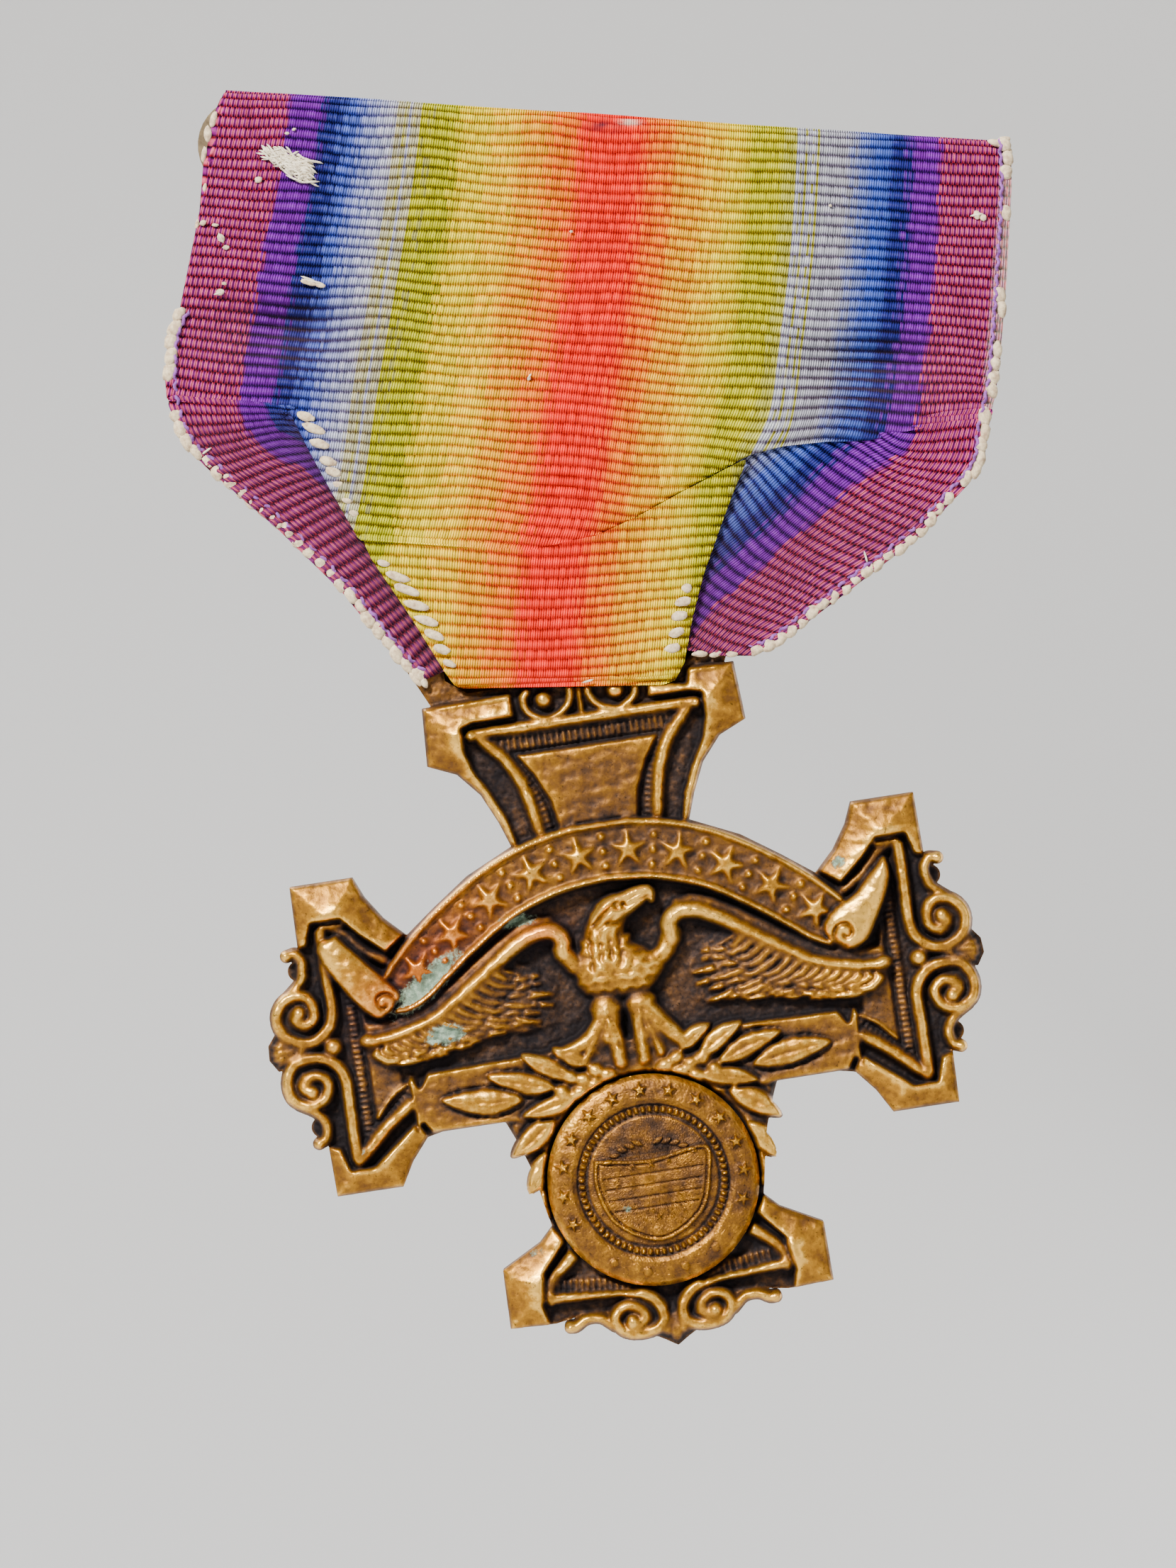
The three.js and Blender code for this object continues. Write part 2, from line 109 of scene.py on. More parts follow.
def grid_faces(rows, cols):
    i = np.arange(rows - 1)[:, None] * cols + np.arange(cols - 1)[None, :]
    return np.stack([i, i + 1, i + cols + 1, i + cols], -1).reshape(-1, 4)


def ring_faces(rings, n):
    """Faces between rings of n points, closed round."""
    start = np.arange(rings - 1)[:, None] * n
    i, j = start + np.arange(n), start + (np.arange(n) + 1) % n
    return np.stack([i, j, j + n, i + n], -1).reshape(-1, 4)


def curve_points(points, per=8):
    """Catmull-Rom through the points."""
    p = np.asarray(points, float)
    p = np.vstack([2 * p[0] - p[1], p, 2 * p[-1] - p[-2]])
    out = []
    t = np.linspace(0, 1, per, endpoint=False)[:, None]
    for i in range(1, len(p) - 2):
        a, b, c, d = p[i - 1 : i + 3]
        out.append(
            0.5 * (2 * b + (c - a) * t + (2 * a - 5 * b + 4 * c - d) * t**2 + (3 * b - a - 3 * c + d) * t**3)
        )
    out.append(p[-2][None])
    return np.vstack(out)


def along_line(points, f):
    """Points at fractions f of a polyline's length."""
    p = np.asarray(points, float)
    s = np.concatenate([[0], np.cumsum(np.linalg.norm(np.diff(p, axis=0), axis=1))])
    return np.stack([np.interp(np.asarray(f) * s[-1], s, p[:, k]) for k in range(p.shape[1])], -1)


def length_of(points):
    return float(np.linalg.norm(np.diff(np.asarray(points, float), axis=0), axis=1).sum())


def ease(x):
    x = np.clip(x, 0, 1)
    return x * x * (3 - 2 * x)


def blur(a, sigma):
    n = max(1, int(3 * sigma))
    k = np.exp(-0.5 * (np.arange(-n, n + 1) / sigma) ** 2)
    k /= k.sum()
    for axis in (0, 1):
        pad = [(n, n) if ax == axis else (0, 0) for ax in (0, 1)]
        b = np.pad(a, pad, mode="edge")
        a = sum(w * np.take(b, np.arange(i, i + a.shape[axis]), axis=axis) for i, w in enumerate(k))
    return a


def bell(x, width):
    return np.exp(-((x / width) ** 2))


def spot(X, Z, cx, cz, a, b, lean=0.0):
    """A soft patch with half widths a and b, whose middle line rises by lean."""
    return np.exp(-(((X - cx) / a) ** 2 + ((Z - cz - lean * (X - cx)) / b) ** 2))


def round_top(q):
    """Height of a round section at q of its half width."""
    return np.sqrt(np.clip(1 - q**2, 0, 1))


def slow_noise(X, Z, scale, seed):
    """Smooth random waves."""
    g = np.random.default_rng(seed)
    out = np.zeros_like(X)
    for _ in range(7):
        a = g.uniform(0, 2 * np.pi)
        k = 2 * np.pi / (scale * g.uniform(0.7, 1.6))
        out += np.sin(k * (X * math.cos(a) + Z * math.sin(a)) + g.uniform(0, 6.28))
    return out / 3.5


def frame_at(line, f, side=1):
    """A line's point at fraction f, the unit vector to its side and its angle in degrees."""
    ahead = along_line(line, min(f + 0.01, 1)) - along_line(line, max(f - 0.01, 0))
    across = np.array([-ahead[1], ahead[0]]) / max(np.hypot(*ahead), 1e-9) * side
    return along_line(line, f), across, math.degrees(math.atan2(ahead[1], ahead[0]))


def cells_inside(edge):
    """Cells of a grid of signed distances that lie inside, as quads, with the edges round their rim.

    Only used points are numbered: returns quads, rim edges, and which points are used and on the rim.
    """
    middle = (edge[:-1, :-1] + edge[1:, :-1] + edge[:-1, 1:] + edge[1:, 1:]) / 4
    index = np.arange(edge.size).reshape(edge.shape)
    quads = np.stack([index[:-1, :-1], index[:-1, 1:], index[1:, 1:], index[1:, :-1]], -1)[middle > 0]
    edges = np.concatenate([quads[:, [k, (k + 1) % 4]] for k in range(4)])
    key = np.sort(edges, 1)
    _, first, count = np.unique(key[:, 0] * edge.size + key[:, 1], return_index=True, return_counts=True)
    rim = edges[first[count == 1]]
    used, on_rim = np.zeros(edge.size, bool), np.zeros(edge.size, bool)
    used[quads.ravel()] = True
    on_rim[rim.ravel()] = True
    new = -np.ones(edge.size, int)
    new[used] = np.arange(used.sum())
    return new[quads], new[rim], used, on_rim


def inward(edge, px, pz):
    """Unit direction in which the signed distance grows: its x and z parts, flattened."""
    gz, gx = np.gradient(edge, pz, px)
    norm = np.maximum(np.hypot(gx, gz), 0.3)
    return (gx / norm).ravel(), (gz / norm).ravel()


# ------------------------------------------------------------------ materials
class Value:
    """A socket of a look's node tree that takes arithmetic, so that a look reads as a formula."""

    def __init__(self, look, socket):
        self.look, self.socket = look, socket

    def __add__(self, v):
        return self.look.math("ADD", self, v)

    def __sub__(self, v):
        return self.look.math("SUBTRACT", self, v)

    def __rsub__(self, v):
        return self.look.math("SUBTRACT", v, self)

    def __mul__(self, v):
        return self.look.math("MULTIPLY", self, v)

    def __truediv__(self, v):
        return self.look.math("DIVIDE", self, v)

    def __gt__(self, v):
        return self.look.math("GREATER_THAN", self, v)

    def __lt__(self, v):
        return self.look.math("LESS_THAN", self, v)

    def clamped(self):
        """Keeps this value between 0 and 1."""
        self.socket.node.use_clamp = True
        return self


class Look:
    """A material and its node tree."""

    def __init__(self, name):
        self.material = bpy.data.materials.new(name)
        self.material.use_nodes = True
        self.tree = self.material.node_tree
        self.bsdf = self.tree.nodes["Principled BSDF"]

    def add(self, kind, **settings):
        node = self.tree.nodes.new(kind)
        for key, v in settings.items():
            setattr(node, key, v)
        return node

    def feed(self, slot, v):
        """Gives an input a number, a colour or another node's value."""
        if isinstance(v, Value):
            self.tree.links.new(v.socket, slot)
        else:
            slot.default_value = (*v, 1) if isinstance(v, tuple) else v

    def math(self, operation, *values):
        node = self.add("ShaderNodeMath", operation=operation)
        for slot, v in zip(node.inputs, values):
            self.feed(slot, v)
        return Value(self, node.outputs[0])

    def mix(self, factor, a, b, blend="MIX"):
        node = self.add("ShaderNodeMix", data_type="RGBA", blend_type=blend)
        for slot, v in ((0, factor), (6, a), (7, b)):
            self.feed(node.inputs[slot], v)
        return Value(self, node.outputs[2])

    def tint(self, a, b):
        return self.mix(1.0, a, b, "MULTIPLY")

    def ramp(self, source, stops):
        """stops: (position, colour), where a grey is one number."""
        node = self.add("ShaderNodeValToRGB")
        elements = node.color_ramp.elements
        while len(elements) < len(stops):
            elements.new(0.5)
        for element, (position, colour) in zip(elements, stops):
            element.position = position
            element.color = (*(colour if isinstance(colour, tuple) else (colour,) * 3), 1)
        self.feed(node.inputs[0], source)
        return Value(self, node.outputs[0])

    def attribute(self, name):
        return Value(self, self.add("ShaderNodeAttribute", attribute_name=name).outputs["Fac"])

    def noise(self, scale, detail, rough=0.55):
        node = self.add("ShaderNodeTexNoise")
        at = Value(self, self.add("ShaderNodeTexCoord").outputs["Object"])
        for key, v in (("Scale", scale), ("Detail", detail), ("Roughness", rough), ("Vector", at)):
            self.feed(node.inputs[key], v)
        return Value(self, node.outputs["Fac"])

    def random(self, a, b=None):
        """A random number for each whole a, or for each pair of a and b."""
        node = self.add("ShaderNodeTexWhiteNoise", noise_dimensions="1D" if b is None else "2D")
        if b is None:
            self.feed(node.inputs["W"], a)
        else:
            pair = self.add("ShaderNodeCombineXYZ")
            self.feed(pair.inputs[0], a)
            self.feed(pair.inputs[1], b)
            self.feed(node.inputs["Vector"], Value(self, pair.outputs[0]))
        return Value(self, node.outputs[0])

    def surface(self, height, strength, depth, **inputs):
        """Feeds the surface's bump, of a depth in mm, and its other inputs."""
        bump = self.add("ShaderNodeBump")
        for key, v in (("Height", height), ("Strength", strength), ("Distance", depth * MM)):
            self.feed(bump.inputs[key], v)
        self.feed(self.bsdf.inputs["Normal"], Value(self, bump.outputs[0]))
        for key, v in inputs.items():
            self.feed(self.bsdf.inputs[key.replace("_", " ")], v)
        return self.material


def bronze_material():
    look = Look("struck_bronze")
    wear = look.attribute("wear")  # 0 in the recesses to 1 on the high edges
    big, fine = look.noise(260, 5), look.noise(2600, 6, 0.65)
    speck, crust = look.noise(6500, 3, 0.7), look.noise(3400, 8, 0.75)
    level = (wear + ((big - 0.5) * 0.55 + (fine - 0.5) * 0.75)).clamped()
    tone = look.ramp(level, [
        (0.0, (0.012, 0.009, 0.010)), (0.16, (0.030, 0.018, 0.014)), (0.30, (0.070, 0.034, 0.016)),
        (0.45, (0.125, 0.053, 0.012)), (0.62, (0.215, 0.092, 0.010)), (0.82, (0.40, 0.185, 0.014)),
        (1.0, (0.74, 0.42, 0.07)),
    ])
    pits = look.ramp(speck, [(0.30, 0), (0.40, 1)])
    tone = look.mix(0.7, tone, look.tint(tone, pits))
    rose = (look.attribute("rose") * 0.8).clamped()
    tone = look.mix(rose, tone, look.tint(tone, (1.25, 0.62, 0.75)))
    verdigris = (look.attribute("green") * 1.0).clamped() + (crust - 0.5) * 1.6
    green = look.ramp(verdigris, [(0.46, 0), (0.72, 1)])
    patina = look.ramp(
        crust, [(0.25, (0.03, 0.06, 0.045)), (0.5, (0.13, 0.19, 0.13)), (0.75, (0.38, 0.47, 0.36))]
    )
    rough = look.ramp(level, [(0.0, 0.78), (0.4, 0.58), (0.8, 0.42), (1.0, 0.33)]) + (fine - 0.5) * 0.22
    return look.surface(
        fine + speck * 0.5 + green * crust, 0.55, 0.04, Base_Color=look.mix(green, tone, patina),
        Metallic=(0.86 - green * 0.8).clamped(), Roughness=(rough + green * 0.3).clamped(),
    )


def tarnished_metal():
    look = Look("tarnished_brass")
    fine = look.noise(5200, 5, 0.6)
    level = look.noise(420, 5) * 0.7 + fine * 0.3
    tone = look.ramp(level, [
        (0.30, (0.07, 0.052, 0.032)), (0.48, (0.20, 0.15, 0.085)), (0.62, (0.36, 0.29, 0.17)),
        (0.8, (0.55, 0.47, 0.31)),
    ])
    rough = look.ramp(level, [(0.3, 0.68), (0.8, 0.32)])
    return look.surface(fine, 0.4, 0.03, Base_Color=tone, Metallic=0.85, Roughness=rough)


# Colours of the stripes, as fractions of the ribbon's width from its left edge.
STRIPES = [
    (0.000, 0.084, (0.32, 0.030, 0.14)), (0.090, 0.124, (0.14, 0.006, 0.28)),
    (0.132, 0.150, (0.016, 0.020, 0.16)),
    (0.164, 0.172, (0.070, 0.105, 0.42)), (0.188, 0.192, (0.25, 0.28, 0.52)),
    (0.212, 0.224, (0.40, 0.41, 0.52)),
    (0.238, 0.254, (0.42, 0.40, 0.24)), (0.268, 0.292, (0.40, 0.39, 0.0)), (0.312, 0.334, (0.74, 0.57, 0.0)),
    (0.350, 0.368, (0.87, 0.56, 0.0)), (0.388, 0.404, (0.80, 0.35, 0.0)),
    (0.424, 0.436, (0.84, 0.20, 0.0)), (0.464, 0.524, (0.88, 0.012, 0.005)),
    (0.552, 0.564, (0.84, 0.19, 0.0)), (0.584, 0.604, (0.80, 0.38, 0.0)), (0.618, 0.632, (0.86, 0.55, 0.0)),
    (0.640, 0.655, (0.76, 0.58, 0.0)), (0.672, 0.705, (0.46, 0.43, 0.0)),
    (0.715, 0.732, (0.42, 0.41, 0.06)), (0.738, 0.750, (0.46, 0.48, 0.52)),
    (0.760, 0.790, (0.34, 0.34, 0.40)), (0.808, 0.814, (0.14, 0.18, 0.44)),
    (0.828, 0.838, (0.055, 0.10, 0.44)),
    (0.850, 0.866, (0.016, 0.020, 0.18)),
    (0.876, 0.905, (0.15, 0.006, 0.30)), (0.912, 0.985, (0.34, 0.030, 0.13)),
    (0.992, 1.000, (0.60, 0.50, 0.30)),
]
PALE_BANDS = ((0.218, 0.266), (0.726, 0.764))
THREADS_PER_MM = 9.5


def stripe_ramp(look, source, low, high):
    stops = [
        (min(max((end - low) / (high - low), 0), 1), colour)
        for a, b, colour in STRIPES if b > low and a < high for end in (a, b)
    ]
    return look.ramp(source, stops)


def ribbon_material():
    look = Look("ribbed_weave")
    warp = look.attribute("warp")  # millimetres across the ribbon
    rib = look.attribute("rib")  # ribs along it
    worn, stain_and_shade = look.attribute("worn"), look.attribute("stain_and_shade")
    # two sets of threads alternate on each rib
    thread = warp * THREADS_PER_MM
    thread_number, rib_number = look.math("FLOOR", thread), look.math("FLOOR", rib + 0.5)
    by_stitch, by_thread = look.random(thread_number, rib_number), look.random(thread_number)
    # the pale bands are warped with yellow and blue threads in turn
    u = warp / RIBBON_W
    mixed = 0
    for low, high in PALE_BANDS:
        mixed = (u > low) * (u < high) + mixed
    jitter = (by_thread - 0.5) * (mixed * 0.05 + 0.006) + (by_stitch - 0.5) * 0.012
    u = look.math("MINIMUM", (u + jitter).clamped(), 0.984)
    left, right = stripe_ramp(look, u * 2.0, 0.0, 0.5), stripe_ramp(look, u * 2.0 - 1.0, 0.5, 1.0)
    colour = look.mix(u > 0.5, left, right)
    # in the magenta bands salmon and purple threads show in turn
    odd = look.math("FRACT", warp * (THREADS_PER_MM / 2) + rib_number * 0.5) > 0.52
    edge = ((u < 0.087) + (u > 0.909) * (u < 0.99)).clamped()
    strokes = look.mix(odd, (0.15, 0.008, 0.13), (0.58, 0.080, 0.14))
    colour = look.mix(edge * 0.85, colour, strokes)
    # light and dark threads
    colour = look.tint(colour, by_stitch * 0.45 + 0.72)
    # painted shade darkens and deepens the colour in the valleys between ribs, and the threads give them a
    # toothed edge
    tooth = look.math("SINE", thread * (2 * math.pi))
    toothed = rib + tooth * 0.065 + (by_stitch - 0.5) * 0.09
    phase = look.math("COSINE", toothed * (2 * math.pi))
    valley = look.ramp((phase + 1.0) * 0.5, [(0.0, 0), (0.28, 0.55), (0.62, 1)])
    # painted shade: the valley colour is the thread colour times itself, tinted violet
    valley_shade = look.tint(look.tint(colour, colour), (0.55, 0.42, 0.50))
    colour = look.mix(valley, valley_shade, colour)
    # painted highlight: a faint warm sheen mixed onto the crowns of the ribs
    crown_highlight = look.ramp(phase, [(0.55, 0), (1.0, 1)])
    colour = look.mix(crown_highlight * by_stitch * 0.03, colour, (1.0, 0.90, 0.60))
    frayed = (worn + (look.noise(9000, 3) - 0.5) * 0.5).clamped() * (worn > 0.02)
    colour = look.mix(frayed, colour, (0.72, 0.66, 0.50))
    # dark stains and spots, and painted shade in the pinched rib valleys and on the pleats, turn the colour
    # violet-black
    colour = look.mix(stain_and_shade, colour, (0.040, 0.022, 0.035))
    return look.surface(
        tooth + by_stitch * 0.9, 0.8, 0.05, Base_Color=colour, Roughness=0.62, Specular_IOR_Level=0.03
    )


def thread_material(name, colour, dark):
    look = Look(name)
    grain = look.noise(4500, 4, 0.6)
    light = tuple(min(1, c * 1.15) for c in colour)
    tone = look.ramp(grain, [(0.30, dark), (0.62, colour), (0.8, light)])
    return look.surface(grain, 0.6, 0.05, Base_Color=tone, Roughness=0.8, Sheen_Weight=0.2)


# ------------------------------------------------------------------ relief drawing
class Relief:
    """Heights above the ground on a square grid, in the cross's own frame."""

    def __init__(self, x0, x1, z0, z1, pitch):
        self.p = pitch
        self.xs = np.arange(x0, x1 + pitch / 2, pitch)
        self.zs = np.arange(z0, z1 + pitch / 2, pitch)
        self.X, self.Z = np.meshgrid(self.xs, self.zs)
        self.H = np.zeros_like(self.X)

    def window(self, pts, margin):
        p = np.asarray(pts, float)
        lo, hi = p.min(0) - margin, p.max(0) + margin
        a = np.searchsorted(self.xs, [lo[0], hi[0]])
        b = np.searchsorted(self.zs, [lo[1], hi[1]])
        return slice(b[0], b[1]), slice(a[0], a[1])

    def line(self, pts, w):
        """Distance from a line, its fraction along it and the side, near the line."""
        s = self.window(pts, w + 2 * self.p)
        return s, *line_distance(self.X[s], self.Z[s], pts)

    def area(self, poly):
        """Signed distance to an outline, positive inside, near the outline."""
        s = self.window(poly, 0.2)
        return s, inside_distance(self.X[s], self.Z[s], poly)

    def set(self, s, where, h):
        self.H[s] = np.where(where, h, self.H[s])

    def lift(self, s, where, h):
        """Raises what is lower than h."""
        self.set(s, where, np.maximum(self.H[s], h))


def line_distance(X, Z, pts):
    p = np.asarray(pts, float)
    seg = np.linalg.norm(np.diff(p, axis=0), axis=1)
    total = seg.sum()
    best = np.full(X.shape, 1e9)
    frac = np.zeros(X.shape)
    side = np.zeros(X.shape)
    run = 0.0
    for (ax, az), (bx, bz), l in zip(p[:-1], p[1:], seg):
        if l < 1e-9:
            continue
        dx, dz = (bx - ax) / l, (bz - az) / l
        u = np.clip((X - ax) * dx + (Z - az) * dz, 0, l)
        ex, ez = X - ax - u * dx, Z - az - u * dz
        d = np.hypot(ex, ez)
        better = d < best
        best = np.where(better, d, best)
        frac = np.where(better, (run + u) / total, frac)
        side = np.where(better, dx * ez - dz * ex, side)
        run += l
    return best, frac, side


def inside_distance(X, Z, poly):
    """Signed distance to a polygon, positive inside."""
    p = np.asarray(poly, float)
    d, _, _ = line_distance(X, Z, np.vstack([p, p[:1]]))
    inside = np.zeros(X.shape, bool)
    for (ax, az), (bx, bz) in zip(p, np.roll(p, -1, 0)):
        if az == bz:
            continue
        cross = (az > Z) != (bz > Z)
        inside ^= cross & (X < (bx - ax) * (Z - az) / (bz - az) + ax)
    return np.where(inside, d, -d)


def both(points):
    p = np.asarray(points, float)
    return [p * side for side in SIDES]


def mirrored(right):
    """A whole outline from its right half."""
    p, q = both(right)
    return np.vstack([p, q[::-1]])


def smooth(pts):
    return curve_points(pts) if len(pts) > 2 else np.asarray(pts, float)


def ridge(r, pts, w, h, taper=None, on_top=False):
    """A rounded ridge along a line. taper(f) scales its width along it."""
    s, d, f, _ = r.line(smooth(pts), w)
    width = w * (taper(f) if taper else 1.0)
    top = h * round_top(d / np.maximum(width, 1e-6))
    if on_top:
        r.H[s] += np.where(d < width, top, 0)
    else:
        r.lift(s, d < width, top)


def groove(r, pts, w, depth):
    s, d, _, _ = r.line(smooth(pts), w)
    r.H[s] -= depth * np.clip(1 - (d / w) ** 2, 0, 1)


def plateau(r, poly, h, bevel):
    s, m = r.area(poly)
    r.lift(s, m > 0, h * ease(m / bevel))


def dome(r, cx, cz, a, b, h, turn=0.0, base=0.0, power=0.5):
    m = max(a, b)
    s = r.window([(cx - m, cz - m), (cx + m, cz + m)], 0.1)
    c, q = math.cos(math.radians(turn)), math.sin(math.radians(turn))
    X, Z = r.X[s] - cx, r.Z[s] - cz
    k = 1 - ((X * c + Z * q) / a) ** 2 - ((-X * q + Z * c) / b) ** 2
    r.lift(s, k > 0, base + h * np.clip(k, 0, 1) ** power)


def hatch(r, pts, w, pitch, h, base):
    """Short bars across a line."""
    pts = smooth(pts)
    n = round(length_of(pts) / pitch)
    s, d, f, _ = r.line(pts, w)
    bars = 0.5 + 0.5 * np.cos(2 * np.pi * f * n)
    r.set(s, d < w, base + h * bars**0.8 * ease((w - d) / 0.08))


def star_points(cx, cz, radius, inner, turn=0.0):
    """Outline of a five-pointed star."""
    a = np.radians(90 + turn) + np.arange(10) * np.pi / 5
    rr = np.where(np.arange(10) % 2 == 0, radius, inner)
    return np.stack([cx + rr * np.cos(a), cz + rr * np.sin(a)], -1)


# ------------------------------------------------------------------ the struck cross
HALF = [
    (4.6, 13.7), (7.0, 13.7), (7.15, 11.1), (5.9, 10.55), (5.0, 9.5), (4.4, 8.2), (4.0, 7.05), (6.15, 6.05),
    (7.8, 4.9), (9.2, 3.85), (10.1, 4.75), (10.8, 5.8), (11.2, 6.75), (14.0, 6.75), (14.05, 4.0),
    (14.0, -4.85), (13.95, -7.15), (11.0, -7.15), (10.4, -6.1), (9.6, -5.15), (8.9, -5.0), (6.1, -5.0),
    (5.6, -6.2), (5.2, -7.4), (4.95, -8.8), (4.75, -9.9), (5.4, -10.55), (7.2, -11.5), (7.25, -14.1),
    (5.2, -14.2), (4.0, -14.0), (1.0, -14.2),
]
SIDE_UP = [
    (12.95, 4.5), (12.95, 2.7), (12.93, 1.2), (13.15, 0.4), (13.8, -0.15), (14.6, -0.15), (15.3, 0.4),
    (15.4, 1.2), (14.95, 1.8), (14.25, 1.9), (13.8, 1.5), (13.8, 0.85), (14.2, 0.6), (14.55, 0.9),
    (14.4, 1.15),
]
SIDE_DOWN = [
    (12.8, -5.6), (12.8, -3.5), (12.82, -2.0), (13.3, -1.2), (14.1, -0.92), (15.0, -1.1), (15.38, -1.9),
    (15.2, -2.65), (14.5, -3.0), (13.85, -2.75), (13.6, -2.1), (14.0, -1.7), (14.45, -1.8), (14.65, -2.15),
    (14.35, -2.4),
]
CURL_UP = [(15.2, 1.65), (14.6, 2.1), (14.1, 2.6), (13.95, 3.3), (14.2, 3.75), (14.6, 3.72)]
CURL_DOWN = [(15.0, -2.9), (14.3, -3.35), (13.95, -3.9), (14.05, -4.5), (14.4, -4.7)]
FOOT = [
    (5.3, -13.0), (3.75, -13.05), (2.2, -13.15), (1.1, -13.5), (0.5, -14.1), (0.55, -14.85), (1.3, -15.15),
    (2.2, -15.0), (2.6, -14.4), (2.2, -13.9), (1.6, -13.95), (1.25, -14.4), (1.6, -14.75), (1.85, -14.6),
]
FOOT_CURL = [(2.65, -14.7), (3.2, -14.25), (3.85, -14.2), (4.35, -14.45), (4.6, -14.45)]
SIDE_LEAF = [
    (13.5, -0.5), (14.8, 0.15), (15.65, 0.35), (16.0, -0.1), (16.05, -0.75), (15.7, -1.3), (14.8, -1.15),
]
FOOT_LEAF = mirrored([(0.0, -14.0), (0.55, -14.6), (1.0, -15.35), (0.55, -15.6), (0.0, -15.95)])
BANNER_TOP = [
    (0, 7.6), (1.8, 7.5), (3.9, 7.0), (5.8, 6.15), (7.8, 4.85), (9.1, 3.8), (10.0, 2.9), (10.6, 2.2),
]
BANNER_LOW = [
    (10.8, 0.5), (9.6, 0.45), (8.6, 0.85), (7.6, 1.6), (6.2, 2.65), (4.2, 3.9), (2.1, 4.6), (0, 4.85),
]
# volutes: middle, radius of the metal behind the coil, and radius of the dome under it
VOLUTES = ((14.5, 1.0, 1.1, 0.95), (14.5, -2.0, 1.05, 0.9), (1.5, -14.3, 0.95, 0.85))
CURL_DISCS = ((14.2, 3.0, 0.45), (14.2, -4.0, 0.45))
COILS, CURLS = (SIDE_UP, SIDE_DOWN, FOOT), (CURL_UP, CURL_DOWN, FOOT_CURL)


def cross_outline(r):
    """Signed distance to the planchet's edge, positive on the metal."""
    d = inside_distance(r.X, r.Z, mirrored(HALF + [(0, -14.4)]))
    for lines, w in ((COILS, 0.33), (CURLS, 0.29)):
        for p in [p for line in lines for p in both(curve_points(line))]:
            s, q, _, _ = r.line(p, 1.0)
            d[s] = np.maximum(d[s], w - q)
    for side in SIDES:
        for cx, cz, rad, *_ in VOLUTES + CURL_DISCS:
            d = np.maximum(d, rad - np.hypot(r.X - side[0] * cx, r.Z - cz))
        d = np.maximum(d, inside_distance(r.X, r.Z, SIDE_LEAF * side))
        # the laurel leaves that stand out beyond the arms
        for leaf_line in ([(4.3, -5.3), (6.1, -6.6)], [(4.6, -6.9), (5.5, -8.3)]):
            q, f, _ = line_distance(r.X, r.Z, leaf_line * side)
            d = np.maximum(d, 0.42 * np.sin(np.pi * np.clip(f, 0.02, 1)) ** 0.6 - q)
    d = np.maximum(d, inside_distance(r.X, r.Z, FOOT_LEAF))
    tab = mirrored([(6.35, 13.2), (7.0, 14.6), (7.5, 15.6), (7.5, 15.9), (7.35, 16.2)])
    slot = mirrored([(4.9, SLOT_LOW), (SLOT_HALF, SLOT_LOW + 0.7), (SLOT_HALF, 17.5)])
    d = np.maximum(d, inside_distance(r.X, r.Z, tab))
    return np.minimum(d, -inside_distance(r.X, r.Z, slot))


def shoulders(r, edge):
    """The bevelled outer faces of the arms' ends, which meet in hipped creases."""
    regions = [
        [(7.0, 13.7), (7.2, 11.0), (5.9, 10.5), (5.0, 9.5), (4.4, 8.1), (4.0, 6.9), (3.6, 6.9), (3.95, 8.3),
         (4.55, 9.6), (5.1, 10.6), (5.35, 11.5), (5.35, 12.5), (4.9, 12.65), (3.0, 12.7), (3.0, 13.75)],
        [(14.1, 6.8), (11.1, 6.8), (10.8, 5.9), (10.1, 4.8), (9.2, 3.9), (10.2, 3.2),
         (11.35, 4.2), (12.0, 4.95),
         (13.3, 4.95), (13.6, 4.0), (14.1, 3.9)],
        [(14.1, -7.2), (10.9, -7.2), (10.3, -6.1), (9.5, -5.1), (9.9, -4.3), (12.1, -6.05), (13.1, -6.05),
         (13.45, -5.0), (14.1, -4.8)],
        [(7.3, -14.2), (7.3, -11.3), (5.4, -10.4), (4.75, -9.8), (4.25, -10.6), (5.35, -11.9), (5.6, -13.3),
         (5.4, -14.25)],
    ]
    for p in [p for region in regions for p in both(region)]:
        s, m = r.area(p)
        h = 0.42 + 0.62 * np.clip(edge[s] / 1.35, 0, 1)
        r.lift(s, m > 0, h * ease(m / 0.07))


